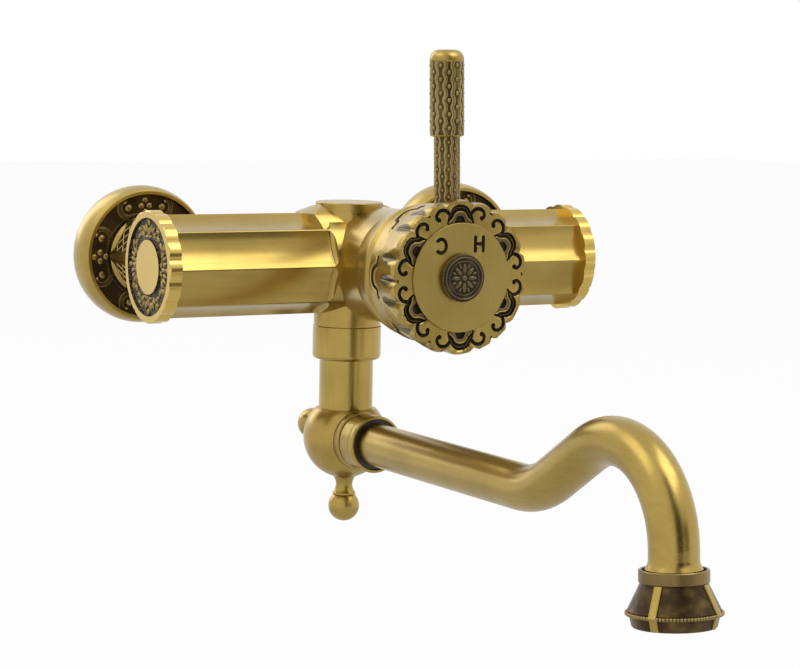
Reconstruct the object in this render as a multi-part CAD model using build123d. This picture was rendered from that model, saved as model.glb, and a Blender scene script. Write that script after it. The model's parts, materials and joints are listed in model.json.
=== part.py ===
from build123d import *

import os
from math import cos, radians, sin

# Wall-mounted two-inlet basin mixer with a lever drum handle and a swan-neck swivel spout.
# Millimetres. +X right, +Y into the wall, +Z up. The origin is on the wall face, midway
# between the two supply pipes. "Ahead" is the distance from the bar's axis towards the user,
# "below" the distance under that axis, and "out" the distance from the wall face.

os.makedirs("parts", exist_ok=True)

# Supply pipes and general fits
INLET_SPACING = 150.0      # between the two supply pipes
ECCENTRIC_OFFSET = 7.5     # the mixer's axis sits this far above the pipes
BODY_REACH = 65.2          # wall face to the bar's axis
G12_RADIUS = 10.48         # half-inch pipe thread, over its crests
G34_RADIUS = 13.22         # three-quarter-inch pipe thread, over its crests
THREAD_PLAY = 0.05         # radial play between mating threads
RUN_PLAY = 0.05            # play of turning pieces
SEAT_PLAY = 0.1            # play behind a shoulder that turns or is drawn up

# Eccentric unions
PIPE_THREAD = 14.0         # length screwed into the wall
ECC_HEAD_RADIUS = 12.4
ECC_HEAD_OUT = 5.0
ECC_PIPE_BORE = 7.5
ECC_BORE = 9.5
ECC_STEP_OUT = 3.5         # where the offset barrel starts
ECC_STEP_OVERLAP = 1.0     # of the two bores, so that water passes
ECC_OUT = 22.4             # end of the offset barrel

# Wall flanges
FLANGE_WALL_RADIUS = 27.9
FLANGE_BULGE = 0.7         # of the side past the foot
FLANGE_RIM_INSET = 0.7     # rim's outside, inwards from the foot's
FLANGE_RIM_WIDTH = 1.8
FLANGE_RIM_ROUND = 0.6
FLANGE_DEPTH = 13.3
FLANGE_DISH = 2.9          # face below the rim
FLANGE_WALL = 1.9
FLANGE_BOSS_WALL = 2.6
FLANGE_BOSS_GAP = 0.6      # between the eccentric's head and the flange's boss

# Union nuts, gaskets, strainers and inlet tails
NUT_FLATS = 30.0           # across flats
NUT_BACK_GAP = 0.8         # to the flange's face
NUT_END_WALL = 6.4
NUT_RADIUS = 16.5          # collar, and the turned corners
NUT_COLLAR = 1.3
NUT_COLLAR_ROUND = 0.3
NUT_COLLAR_SLOPE = 1.4
NUT_CHAMFER_RADIUS = 14.8
NUT_CHAMFER_RISE = 1.3
GASKET_THICK = 2.2
GASKET_HOLE = 8.6
STRAINER_THICK = 0.6
STRAINER_HOLE = 0.7
STRAINER_PITCH = 2.6
STRAINER_RINGS = 2
TAIL_FLANGE_RADIUS = 12.8
TAIL_FLANGE_THICK = 2.7
TAIL_RADIUS = 10.4
TAIL_BORE = 7.0
TAIL_SHOW = 2.8            # bare length between the nut and the body
TAIL_SPIGOT_RADIUS = 9.5
TAIL_SPIGOT = 10.0

# Body casting: the fluted bar
BAR_RADIUS = 20.5          # over the ridges
BAR_PAST_INLET = 5.0       # how far the bar runs past the inlet bosses
FLUTES = 8
FLUTE_RADIUS = 26.0
FLUTE_DEPTH = 2.6
FLUTE_START = 23.8         # from the middle of the bar
FLUTE_END_ROUND = 2.4
BAR_WALL = 3.9             # under a flute
CHAMBER_START = 24.0
CAP_THREAD_STEP = 2.2      # end thread's radius over the chamber's
CAP_THREAD_DEPTH = 9.0
INLET_BOSS_RADIUS = 13.0

# Body casting: boss, cartridge seat, ducts, spout neck and top plug seat
SEAT_AHEAD = 17.0          # cartridge seat
CARTRIDGE_RADIUS = 17.3
RETAINER_STEP = 1.2        # retaining nut's radius over the cartridge's
SPIGOT_WALL = 2.0          # round the retaining nut
SPIGOT_PAST_NUT = 0.5
SEAM_WIDTH = 2.8           # shoulder that the shroud meets
SEAM_AHEAD = 33.0
BOSS_FLARE = 0.1           # of the boss at the seam
BOSS_FLARE_AHEAD = 26.0
DUCT_RADIUS = 2.6
DUCT_AHEAD = 12.2
PORT_X = 6.5
PORT_Z = 4.0
MIX_PORT_Z = -7.5
MIX_PORT_RADIUS = 2.9
SPOUT_X = -8.8             # the spout's axis, left of the handle's
SPOUT_BORE = 8.3
NECK_RADIUS = 13.75
NECK_BELOW = 25.75
NECK_THREAD_RADIUS = 12.0
NECK_THREAD = 7.75
PLUG_RADIUS = 13.75
PLUG_SEAT_ABOVE = 21.0
PLUG_THICK = 3.8
PLUG_TOP_ROUND = 0.5
PLUG_THREAD_RADIUS = 11.0
PLUG_THREAD = 8.0
SADDLE_RADIUS = 22.0       # foot of the sloping saddle round the plug
SADDLE_COVER = 2.9         # saddle's crown over the plug's seat
SADDLE_HALF_WIDTH = 16.0
SEAL_THICK = 0.9
SEAL_WIDTH = 1.9

# End caps
CAP_RADIUS = 22.35
CAP_LOBES = 16
CAP_LOBE_DEPTH = 0.9
CAP_THICK = 5.2
CAP_RIM_ROUND = 0.7
CAP_RECESS_RADIUS = 19.4
CAP_RECESS = 1.0
CAP_DISC_RADIUS = 10.8
CAP_SPIGOT_WALL = 3.15
CAP_SPIGOT_GAP = 0.5       # to the thread's end
CAP_SEAL_THICK = 1.2
CAP_SEAL_WIDTH = 1.2

# Cartridge: thicknesses and steps, counted forward from its seat
BASE_THICK = 3.0
PORT_SEAL_THICK = 1.4
PORT_SEAL_WIDTH = 1.1
HOUSING_WALL = 3.25
DISC_THICK = 3.0
DISC_TRAVEL_ROOM = 3.2     # between the moving disc's edge and the fixed disc's
MOVING_POCKET_WIDTH = 14.0
MOVING_POCKET_HEIGHT = 10.5
MOVING_POCKET_DROP = 1.5
MOVING_POCKET_DEEP = 2.0
CARRIER_THICK = 3.95
ROTOR_GAP = 0.3
ROTOR_BARREL = 5.9
ROTOR_NECK_STEP = 2.9      # neck's radius under the barrel's
ROTOR_NECK_SHOW = 2.5      # past the housing
ROTOR_SLOT_PLAY = 0.15
ROTOR_SLOT_DOWN = 8.4
ROTOR_SLOT_UP = 5.2
HOUSING_ROOF = 1.2
HOUSING_NECK = 3.0
HOUSING_NECK_WALL = 3.2
PIVOT_INSET = 3.7          # tilting pin, ahead of the rotor's back
PIVOT_RADIUS = 1.25
PIVOT_END_GAP = 2.0
STEM_WIDTH = 7.0
STEM_TIP_RADIUS = 2.0
STEM_TIP_REACH = 5.6       # behind the pin
STEM_NECK_RADIUS = 1.3
STEM_BLOCK_BACK = 2.4      # behind the pin
STEM_LENGTH = 28.0         # ahead of the pin
STEM_TIP_PLAY = 0.15
RETAINER_HOLE_PLAY = 0.2
RETAINER_LENGTH = 7.0
RETAINER_RELIEF = 0.3      # length of the nut's bore past its seat
RETAINER_NOTCHES = 6
RETAINER_NOTCH = 3.0

# Shroud bell
SHROUD_WAIST_RISE = 2.2    # radius over the seam's
SHROUD_WAIST_LENGTH = 7.0  # from the seam
SHROUD_LIP_RISE = 3.5
SHROUD_LIP = 2.7           # length of the rounded lip
SHROUD_MOUTH_DEEP = 2.4
SHROUD_MOUTH_WALL = 2.2
SHROUD_WEB_THICK = 1.8
SHROUD_HOLE = 14.2

# Drum handle: distances from its back edge
HUB_GAP = 2.3              # between the shroud's lip and the drum
HUB_DEPTH = 23.8
HUB_BACK_RISE = 0.4        # radius over the shroud's lip
HUB_SKIRT_WALL = 1.2
HUB_WAIST = 6.9
HUB_WAIST_RISE = 0.2
HUB_CREST_RADIUS = 30.2
HUB_CREST = 21.8
HUB_FACE_INSET = 0.7       # of the front edge from the crest
HUB_CREST_ROUND = 1.0
HUB_LOBE_DEPTH = 2.3
HANDLE_LEAN = 1.6          # degrees that the lobes and the lever stand left of upright
HUB_SKIRT = 11.4
HUB_CAVITY = 16.4
HUB_CAVITY_STEP = 1.6
HUB_SOCKET_RADIUS = 6.6
HUB_SOCKET_PROUD = 0.6
HUB_SOCKET_PLAY = 0.06
HUB_MOTIFS = 6             # arches round the rim, with two scroll lobes between each pair
ARCH_HALF_ANGLE = 13.0
HUB_SCREW_RADIUS = 2.0
HUB_SCREW_HOLE = 2.2
HUB_SCREW_BITE = 8.0
HUB_SCREW_HEAD_RADIUS = 3.5
HUB_SCREW_HEAD = 2.7
HUB_SCREW_SUNK = 5.9       # head's seat, below the drum's front
HUB_SCREW_KEY = 1.5
FACE_PLATE_RADIUS = 21.25
FACE_PLATE_THICK = 1.2
FACE_PLATE_PROUD = 0.7
FACE_PLATE_ROUND = 0.3
INDEX_CAP_RADIUS = 9.15
INDEX_CAP_PROUD = 2.2
INDEX_CAP_CHAMFER = 0.4
INDEX_SPIGOT_RADIUS = 4.4
INDEX_SPIGOT_GAP = 0.5     # to the screw's head

# Lever: heights over the handle's axis
LEVER_INSET = 13.5         # from the drum's back edge
LEVER_SEAT_ABOVE = 28.2
LEVER_ROD_RADIUS = 5.15
LEVER_ROD = 25.8
LEVER_THREAD_RADIUS = 4.0
LEVER_THREAD = 5.5
LEVER_PAD_RADIUS = 6.5
LEVER_PAD = 8.2
GRIP_RADIUS = 6.75
GRIP_LENGTH = 33.3
GRIP_DOME = 3.3
GRIP_FOOT_ROUND = 0.4
GRIP_BORE = 4.2
GRIP_ROOF = 7.3

# Spout column and its ring nut, as distances below the bar's axis
RING_NUT_RADIUS = 14.07
RING_NUT_ROUND = 1.8
RING_NUT_TOP_ROUND = 0.3
RING_NUT_FLOOR = 2.35
SWIVEL_WASHER = 1.65
COLUMN_RADIUS = 11.05
COLUMN_BORE = 5.6
COLUMN_COLLAR = 2.0
COLUMN_INSERT = 11.5       # inside the neck
ORINGS = 2
ORING_INSET = 2.6
ORING_PITCH = 4.8
ORING_DEPTH = 1.3
ORING_WIDTH = 1.8
ORING_ROUND = 0.5
ORING_GROOVE_PLAY = 0.1
COLUMN_SPIGOT_RADIUS = 8.5

# Ball, finials and the arm's collar: distances from the ball's centre
BALL_BELOW = 72.0
BALL_RADIUS = 17.2
BALL_FLAT_CUT = 5.4        # cut off the ball to seat the column
BALL_FLAT = BALL_RADIUS - BALL_FLAT_CUT
ARM_RISE = 0.4             # degrees that the arm climbs
ARM_FLAT_CUT = 4.9         # cut off the ball to seat the collar
ARM_SEAT = BALL_RADIUS - ARM_FLAT_CUT
ARM_BORE = 6.2
ARM_SPIGOT_RADIUS = 8.0
ARM_SPIGOT = 5.0
SOCKET_WALL = 0.6          # between the column's socket and the arm's
COLLAR_BEAD_RADIUS = 12.0
COLLAR_BEAD = 3.6
COLLAR_BEAD_BACK_ROUND = 0.6
COLLAR_BEAD_ROUND = 0.8
COLLAR_BAND_RADIUS = 11.4
COLLAR_BAND = 6.8
COLLAR_BAND_ROUND = 0.3
COLLAR_GROOVE = 0.5
COLLAR_GROOVE_DEEP = 0.45
COLLAR_LIP_RADIUS = 11.6
COLLAR_LIP = 3.4
COLLAR_LIP_BACK_ROUND = 0.4
COLLAR_LIP_ROUND = 0.9
COLLAR_MOUTH_WALL = 1.1
COLLAR_MOUTH = 2.8
TUBE_SOCKET = 0.8          # start of the tube's socket, past the ball's flat
COLLAR_RING_THICK = 1.3
FINIAL_COUNTERBORE = 1.0
FINIAL_SEAT = BALL_RADIUS - FINIAL_COUNTERBORE
FINIAL_BASE_RADIUS = 5.2
FINIAL_NECK_RADIUS = 3.45
FINIAL_NECK_LENGTH = 3.1   # from the seat
FINIAL_NECK = FINIAL_SEAT + FINIAL_NECK_LENGTH
FINIAL_FLARE_RADIUS = 4.75
FINIAL_FLARE_LENGTH = 7.2
FINIAL_FLARE = FINIAL_SEAT + FINIAL_FLARE_LENGTH
FINIAL_FLARE_THICK = 0.7
FINIAL_BALL_RADIUS = 6.4
FINIAL_BALL_LENGTH = 12.8
FINIAL_BALL = FINIAL_SEAT + FINIAL_BALL_LENGTH
FINIAL_STUD_RADIUS = 2.5
FINIAL_STUD = 5.0
REAR_FINIAL_RISE = 3.0     # degrees that the rear knob points up

# Swan-neck tube
TUBE_RADIUS = 8.7
TUBE_WALL = 1.2
TUBE_ARM = 136.4           # from the ball's centre to the first bend
TUBE_RISE = 32.3           # degrees, after the first bend
TUBE_RISE_BEND = 43.4
TUBE_SLOPE = 26.0
TUBE_CROWN_BEND = 33.6
TUBE_DROP = 86.0           # degrees below level at the outlet
TUBE_TAIL = 2.1            # straight end, which the nipple plugs

# Outlet nipple and aerator bell, as distances past the bell's upper rim
NIPPLE_SHOW = 4.5
NIPPLE_FLARE = 1.1
NIPPLE_FLANGE = 0.8
NIPPLE_THREAD_RADIUS = 9.2
NIPPLE_THREAD_GAP = 1.0    # to the bell's chamber
NIPPLE_BORE = 6.4
BELL_CUP_RADIUS = 12.0
BELL_CUP = 4.4
BELL_CUP_ROUND = 0.3
BELL_CUP_WALL = 1.1
BELL_CUP_FLOOR = 1.3
BELL_THROAT_RADIUS = 11.3
BELL_SKIRT_RADIUS = 15.8
BELL_SKIRT = 13.6
BELL_BEAD_CENTRE = 16.0
BELL_BEAD_RADIUS = 0.85
BELL_BEAD = 14.6
BELL_LIP_RADIUS = 15.2
BELL_LIP = 15.4
BELL_FOOT_RADIUS = 14.3
BELL_LENGTH = 19.3
BELL_CHAMBER_RADIUS = 12.3
BELL_CHAMBER = 8.6
STRAPS = 4
STRAP_WIDTH = 2.9
STRAP_PROUD = 0.6
STRAP_ANGLE = 28.0         # from straight ahead
AERATOR_WASHER_THICK = 1.2
AERATOR_WASHER_HOLE = 8.0
AERATOR_WALL = 1.2
AERATOR_RECESS = 1.3       # of the insert's face in the bell's foot
AERATOR_HOLE = 0.75
AERATOR_RINGS = 4
AERATOR_PITCH = 2.3

# Worked out: supply side, as distances out from the wall
INLET_X = INLET_SPACING / 2
SIDES = {"left": -1, "right": 1}
FLANGE_BORE = G34_RADIUS + THREAD_PLAY
FLANGE_RIM_RADIUS = FLANGE_WALL_RADIUS - FLANGE_RIM_INSET
FLANGE_RIM_INNER = FLANGE_RIM_RADIUS - FLANGE_RIM_WIDTH
FLANGE_FACE_OUT = FLANGE_DEPTH - FLANGE_DISH
FLANGE_BOSS_BACK = ECC_HEAD_OUT + FLANGE_BOSS_GAP
NUT_BACK_OUT = FLANGE_FACE_OUT + NUT_BACK_GAP
TAIL_BACK_OUT = ECC_OUT + GASKET_THICK
NUT_LEDGE_OUT = TAIL_BACK_OUT + TAIL_FLANGE_THICK + SEAT_PLAY
NUT_FRONT_OUT = NUT_LEDGE_OUT + NUT_END_WALL
INLET_BOSS_OUT = NUT_FRONT_OUT + TAIL_SHOW

# Worked out: bar, plug and neck
BAR_HALF = INLET_X + INLET_BOSS_RADIUS + BAR_PAST_INLET
FLUTE_FLOOR = BAR_RADIUS - FLUTE_DEPTH
CHAMBER_RADIUS = FLUTE_FLOOR - BAR_WALL
CAP_THREAD_RADIUS = CHAMBER_RADIUS + CAP_THREAD_STEP
CHAMBER_END = BAR_HALF - CAP_THREAD_DEPTH
PLUG_TOP_ABOVE = PLUG_SEAT_ABOVE + PLUG_THICK
SADDLE_TOP_ABOVE = PLUG_SEAT_ABOVE + SADDLE_COVER
NECK_THREAD_BELOW = NECK_BELOW + NECK_THREAD

# Worked out: cartridge, shroud and drum, as distances ahead of the bar's axis
BASE_TOP_AHEAD = SEAT_AHEAD + BASE_THICK
MOVING_DISC_AHEAD = BASE_TOP_AHEAD + DISC_THICK + RUN_PLAY
CARRIER_AHEAD = MOVING_DISC_AHEAD + DISC_THICK
ROTOR_BACK_AHEAD = CARRIER_AHEAD + CARRIER_THICK + ROTOR_GAP
PIVOT_AHEAD = ROTOR_BACK_AHEAD + PIVOT_INSET
STEM_TIP_AHEAD = PIVOT_AHEAD - STEM_TIP_REACH
STEM_BLOCK_AHEAD = PIVOT_AHEAD - STEM_BLOCK_BACK
STEM_END_AHEAD = PIVOT_AHEAD + STEM_LENGTH
ROTOR_SHOULDER_AHEAD = ROTOR_BACK_AHEAD + ROTOR_BARREL
HOUSING_SHOULDER_AHEAD = ROTOR_SHOULDER_AHEAD + SEAT_PLAY + HOUSING_ROOF
HOUSING_TOP_AHEAD = HOUSING_SHOULDER_AHEAD + HOUSING_NECK
ROTOR_TOP_AHEAD = HOUSING_TOP_AHEAD + ROTOR_NECK_SHOW
RETAINER_TOP_AHEAD = HOUSING_SHOULDER_AHEAD + RETAINER_LENGTH
SPIGOT_AHEAD = RETAINER_TOP_AHEAD + SPIGOT_PAST_NUT
WEB_BACK_AHEAD = SPIGOT_AHEAD + SEAT_PLAY
WEB_FRONT_AHEAD = WEB_BACK_AHEAD + SHROUD_WEB_THICK
SHROUD_FRONT_AHEAD = WEB_FRONT_AHEAD + SHROUD_MOUTH_DEEP
HUB_BACK_AHEAD = SHROUD_FRONT_AHEAD + HUB_GAP
HUB_FRONT_AHEAD = HUB_BACK_AHEAD + HUB_DEPTH
HUB_CREST_AHEAD = HUB_BACK_AHEAD + HUB_CREST
HUB_CAVITY_AHEAD = HUB_BACK_AHEAD + HUB_CAVITY
HUB_SCREW_SEAT_AHEAD = HUB_FRONT_AHEAD - HUB_SCREW_SUNK
LEVER_AHEAD = HUB_BACK_AHEAD + LEVER_INSET
PLATE_FRONT_AHEAD = HUB_FRONT_AHEAD + FACE_PLATE_PROUD
PLATE_BACK_AHEAD = PLATE_FRONT_AHEAD - FACE_PLATE_THICK

# Worked out: cartridge, shroud and drum radii
RETAINER_RADIUS = CARTRIDGE_RADIUS + RETAINER_STEP
SPIGOT_RADIUS = RETAINER_RADIUS + SPIGOT_WALL
SEAM_RADIUS = SPIGOT_RADIUS + SEAM_WIDTH
BOSS_RADIUS = SEAM_RADIUS - BOSS_FLARE
DISC_RADIUS = CARTRIDGE_RADIUS - HOUSING_WALL - RUN_PLAY
MOVING_DISC_RADIUS = DISC_RADIUS - DISC_TRAVEL_ROOM
ROTOR_NECK_RADIUS = DISC_RADIUS - ROTOR_NECK_STEP
HOUSING_NECK_RADIUS = ROTOR_NECK_RADIUS + HOUSING_NECK_WALL
SHROUD_LIP_RADIUS = SEAM_RADIUS + SHROUD_LIP_RISE
HUB_BACK_RADIUS = SHROUD_LIP_RADIUS + HUB_BACK_RISE
HUB_SKIRT_RADIUS = HUB_BACK_RADIUS - HUB_SKIRT_WALL
INDEX_SOCKET_RADIUS = INDEX_SPIGOT_RADIUS + SEAT_PLAY

# Worked out: lever heights, spout column and outlet
LEVER_PAD_ABOVE = LEVER_SEAT_ABOVE - LEVER_PAD
GRIP_FOOT_ABOVE = LEVER_SEAT_ABOVE + LEVER_ROD
GRIP_TOP_ABOVE = GRIP_FOOT_ABOVE + GRIP_LENGTH
GRIP_BORE_ABOVE = GRIP_TOP_ABOVE - GRIP_ROOF
RING_NUT_BORE = NECK_THREAD_RADIUS + THREAD_PLAY
RING_NUT_TOP_BELOW = NECK_BELOW + SEAT_PLAY
COLLAR_TOP_BELOW = NECK_THREAD_BELOW + SWIVEL_WASHER + RUN_PLAY
COLLAR_FOOT_BELOW = COLLAR_TOP_BELOW + COLUMN_COLLAR
RING_NUT_LEDGE_BELOW = COLLAR_FOOT_BELOW + SEAT_PLAY
RING_NUT_FOOT_BELOW = RING_NUT_LEDGE_BELOW + RING_NUT_FLOOR
INSERT_TOP_BELOW = NECK_THREAD_BELOW - COLUMN_INSERT
ORING_STARTS = [INSERT_TOP_BELOW + ORING_INSET + number * ORING_PITCH for number in range(ORINGS)]
BALL_FLAT_BELOW = BALL_BELOW - BALL_FLAT
COLUMN_FOOT_BELOW = BALL_BELOW - ARM_SPIGOT_RADIUS - SOCKET_WALL
TUBE_START = ARM_SEAT + TUBE_SOCKET
COLLAR_MOUTH_RADIUS = COLLAR_LIP_RADIUS - COLLAR_MOUTH_WALL
BEAD_END = ARM_SEAT + COLLAR_BEAD
BAND_START = BEAD_END + COLLAR_GROOVE
BAND_END = BAND_START + COLLAR_BAND
LIP_START = BAND_END + COLLAR_GROOVE
LIP_END = LIP_START + COLLAR_LIP
MOUTH_FLOOR = LIP_END - COLLAR_MOUTH
NIPPLE_THREAD = BELL_CHAMBER - NIPPLE_THREAD_GAP
AERATOR_START = BELL_CHAMBER + AERATOR_WASHER_THICK
AERATOR_FOOT = BELL_LENGTH - AERATOR_RECESS


def forward(ahead=0.0):
    """Frame on the handle's axis: its z runs towards the user, its y up."""
    return Plane(origin=(0, -BODY_REACH - ahead, ECCENTRIC_OFFSET), x_dir=(1, 0, 0), z_dir=(0, -1, 0))


def below():
    """Frame on the spout's axis: its z runs down, its y towards the user."""
    return Plane(origin=(SPOUT_X, -BODY_REACH, ECCENTRIC_OFFSET), x_dir=(1, 0, 0), z_dir=(0, 0, -1))


def above():
    """Frame on the spout's axis with its z running up."""
    return Plane(origin=(SPOUT_X, -BODY_REACH, ECCENTRIC_OFFSET), x_dir=(1, 0, 0), z_dir=(0, 0, 1))


def along_bar(side):
    """Frame on the bar's axis: its z runs from the middle towards one end."""
    return Plane(origin=(0, -BODY_REACH, ECCENTRIC_OFFSET), x_dir=(0, 0, 1), z_dir=(side, 0, 0))


def out_of_wall(side, height=ECCENTRIC_OFFSET):
    """Frame on an inlet's axis: its z runs out of the wall, its y up."""
    return Plane(origin=(side * INLET_X, 0, height), x_dir=(1, 0, 0), z_dir=(0, -1, 0))


def lever_axis():
    """Frame in the handle's frame: its z runs up along the lever, which leans a little to the left."""
    lean = radians(HANDLE_LEAN)
    upward = (-sin(lean), cos(lean), 0)
    return Plane(origin=(0, 0, LEVER_AHEAD), x_dir=(cos(lean), sin(lean), 0), z_dir=upward)


def arm_frame():
    """Frame at the ball's centre: its z runs along the arm, its y up."""
    rise = radians(ARM_RISE)
    centre = (SPOUT_X, -BODY_REACH, ECCENTRIC_OFFSET - BALL_BELOW)
    return Plane(origin=centre, x_dir=(1, 0, 0), z_dir=(0, -cos(rise), sin(rise)))


def turned(*outline):
    """Solid turned round Z from (radius, distance) corners; a third value rounds a corner."""
    points = [(corner[0], corner[1]) for corner in outline]
    rounds = [corner[2] if len(corner) > 2 else 0 for corner in outline]
    path = FilletPolyline(*points, radius=rounds, close=True)
    return revolve(Plane.XZ * make_face(path), Axis.Z)


def rod(radius, start, end):
    """Plain round bar along Z."""
    return Pos(0, 0, (start + end) / 2) * Cylinder(radius, end - start)


def pipe(outer, inner, start, end):
    """Plain tube along Z."""
    return rod(outer, start, end) - rod(inner, start, end)


def block(width, start, end):
    """Square bar along Z."""
    return Pos(0, 0, (start + end) / 2) * Box(width, width, end - start)


def cross_pin(radius, length, height):
    """Round bar along X at one height."""
    return Pos(0, 0, height) * Rot(0, 90, 0) * Cylinder(radius, length)


def duct(radius, start, end):
    """Round channel between two points."""
    line = Line(start, end)
    return sweep(Plane(origin=start, z_dir=line % 0) * Circle(radius), path=line)


def rings_of_holes(radius, depth, pitch, rings):
    """Round holes in rings round a middle one, six more in each ring."""
    holes = [Cylinder(radius, depth)]
    for ring in range(1, rings + 1):
        holes += [spot * Cylinder(radius, depth) for spot in PolarLocations(ring * pitch, 6 * ring)]
    return holes


def lobed_face(crest, cusp, half_angles):
    """Face bounded by outward arcs, one for each half angle, beginning at straight up."""
    arcs = []
    angle = -half_angles[0]
    for half in half_angles:
        ends = [(r * sin(radians(a)), r * cos(radians(a)))
                for r, a in ((cusp, angle), (crest, angle + half), (cusp, angle + 2 * half))]
        arcs.append(ThreePointArc(*ends))
        angle += 2 * half
    return make_face(arcs)


def eccentric(side):
    """Offset union between a supply pipe and the mixer."""
    offset = Pos(0, ECCENTRIC_OFFSET, 0)
    shape = rod(G12_RADIUS, -PIPE_THREAD, 0) + rod(ECC_HEAD_RADIUS, 0, ECC_HEAD_OUT)
    shape += offset * rod(G34_RADIUS, ECC_STEP_OUT, ECC_OUT)
    shape -= rod(ECC_PIPE_BORE, -PIPE_THREAD, ECC_STEP_OUT + ECC_STEP_OVERLAP)
    shape -= offset * rod(ECC_BORE, ECC_STEP_OUT + ECC_STEP_OVERLAP / 2, ECC_OUT)
    return out_of_wall(side, 0) * shape


def wall_flange(side):
    """Dished flange screwed along the eccentric up to the wall."""
    boss = FLANGE_BORE + FLANGE_BOSS_WALL
    face_back = FLANGE_FACE_OUT - FLANGE_WALL
    rim_start = FLANGE_DEPTH - FLANGE_RIM_ROUND
    side_arc = ThreePointArc((FLANGE_WALL_RADIUS, 0), (FLANGE_WALL_RADIUS + FLANGE_BULGE, FLANGE_DEPTH / 2),
                             (FLANGE_RIM_RADIUS, rim_start))
    rest = Polyline((FLANGE_RIM_RADIUS, rim_start), (FLANGE_RIM_RADIUS - FLANGE_RIM_ROUND, FLANGE_DEPTH),
                    (FLANGE_RIM_INNER, FLANGE_DEPTH), (FLANGE_RIM_INNER, FLANGE_FACE_OUT),
                    (FLANGE_BORE, FLANGE_FACE_OUT), (FLANGE_BORE, FLANGE_BOSS_BACK),
                    (boss, FLANGE_BOSS_BACK), (boss, face_back), (FLANGE_RIM_INNER - FLANGE_WALL, face_back),
                    (FLANGE_WALL_RADIUS - FLANGE_WALL, 0), (FLANGE_WALL_RADIUS, 0))
    return out_of_wall(side) * revolve(Plane.XZ * make_face([side_arc, rest]), Axis.Z)


def union_nut(side):
    """Hexagon union nut with a round collar at its back, which draws the tail onto the eccentric."""
    corner = NUT_FLATS / 2 / cos(radians(30))
    slope_start = NUT_BACK_OUT + NUT_COLLAR
    slope_end = slope_start + NUT_COLLAR_SLOPE
    hexagon = extrude(Pos(0, 0, NUT_BACK_OUT) * RegularPolygon(corner, 6), NUT_FRONT_OUT - NUT_BACK_OUT)
    drum = turned((0, NUT_BACK_OUT), (NUT_RADIUS, NUT_BACK_OUT),
                  (NUT_RADIUS, NUT_FRONT_OUT - NUT_CHAMFER_RISE), (NUT_CHAMFER_RADIUS, NUT_FRONT_OUT),
                  (0, NUT_FRONT_OUT))
    collar = turned((0, NUT_BACK_OUT), (NUT_RADIUS, NUT_BACK_OUT, NUT_COLLAR_ROUND),
                    (NUT_RADIUS, slope_start), (NUT_RADIUS - NUT_COLLAR_SLOPE, slope_end), (0, slope_end))
    shape = (hexagon & drum) + collar
    shape -= rod(G34_RADIUS + THREAD_PLAY, NUT_BACK_OUT, NUT_LEDGE_OUT)
    shape -= rod(TAIL_RADIUS + SEAT_PLAY, NUT_LEDGE_OUT, NUT_FRONT_OUT)
    return out_of_wall(side) * shape


def union_gasket(side):
    """Flat rubber gasket between the eccentric and the tail."""
    return out_of_wall(side) * pipe(TAIL_FLANGE_RADIUS, GASKET_HOLE, ECC_OUT, TAIL_BACK_OUT)


def strainer(side):
    """Perforated dirt screen held inside the gasket."""
    middle = ECC_OUT + GASKET_THICK / 2
    disc = Cylinder(GASKET_HOLE, STRAINER_THICK)
    disc -= rings_of_holes(STRAINER_HOLE, STRAINER_THICK, STRAINER_PITCH, STRAINER_RINGS)
    return out_of_wall(side) * (Pos(0, 0, middle) * disc)


def inlet_tail(side):
    """Flanged tail that the union nut clamps, screwed into the body with a hexagon key."""
    tail_end = INLET_BOSS_OUT + TAIL_SPIGOT
    shape = rod(TAIL_FLANGE_RADIUS, TAIL_BACK_OUT, TAIL_BACK_OUT + TAIL_FLANGE_THICK)
    shape += rod(TAIL_RADIUS, TAIL_BACK_OUT + TAIL_FLANGE_THICK, INLET_BOSS_OUT)
    shape += rod(TAIL_SPIGOT_RADIUS, INLET_BOSS_OUT, tail_end)
    shape -= extrude(Pos(0, 0, TAIL_BACK_OUT) * RegularPolygon(TAIL_BORE, 6), tail_end - TAIL_BACK_OUT)
    return out_of_wall(side) * shape


def flute_cutter():
    """Round cutter with a rounded nose, laid along the bar from the middle."""
    end = BAR_HALF + CAP_THICK
    cutter = turned((0, FLUTE_START), (FLUTE_RADIUS, FLUTE_START, FLUTE_END_ROUND),
                    (FLUTE_RADIUS, end), (0, end))
    return Pos(FLUTE_FLOOR + FLUTE_RADIUS, 0, 0) * cutter


def fluted_bar():
    """Round bar with hollow flutes that stop short of the middle."""
    bar = along_bar(1) * rod(BAR_RADIUS, -BAR_HALF, BAR_HALF)
    for side in SIDES.values():
        for number in range(FLUTES):
            turn = Rot(0, 0, (number + 0.5) * 360 / FLUTES)
            bar -= along_bar(side) * (turn * flute_cutter())
    return bar


def plug_saddle():
    """Sloping saddle that carries the round top plug on the bar's crown."""
    cone = turned((0, 0), (SADDLE_RADIUS, 0), (SADDLE_RADIUS, BAR_RADIUS),
                  (PLUG_RADIUS, SADDLE_TOP_ABOVE), (0, SADDLE_TOP_ABOVE))
    crown = extrude(along_bar(1) * Ellipse(SADDLE_TOP_ABOVE, SADDLE_HALF_WIDTH), BAR_HALF, both=True)
    return (above() * cone) & crown


def cartridge_boss():
    """Boss ahead of the bar: round waist, slight flare to the shroud's seam, threaded spigot."""
    waist = turned((0, 0), (BOSS_RADIUS, 0), (BOSS_RADIUS, BOSS_FLARE_AHEAD, BOSS_RADIUS),
                   (SEAM_RADIUS, SEAM_AHEAD), (0, SEAM_AHEAD))
    return forward() * (Sphere(BOSS_RADIUS) + waist + rod(SPIGOT_RADIUS, SEAM_AHEAD, SPIGOT_AHEAD))


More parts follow.
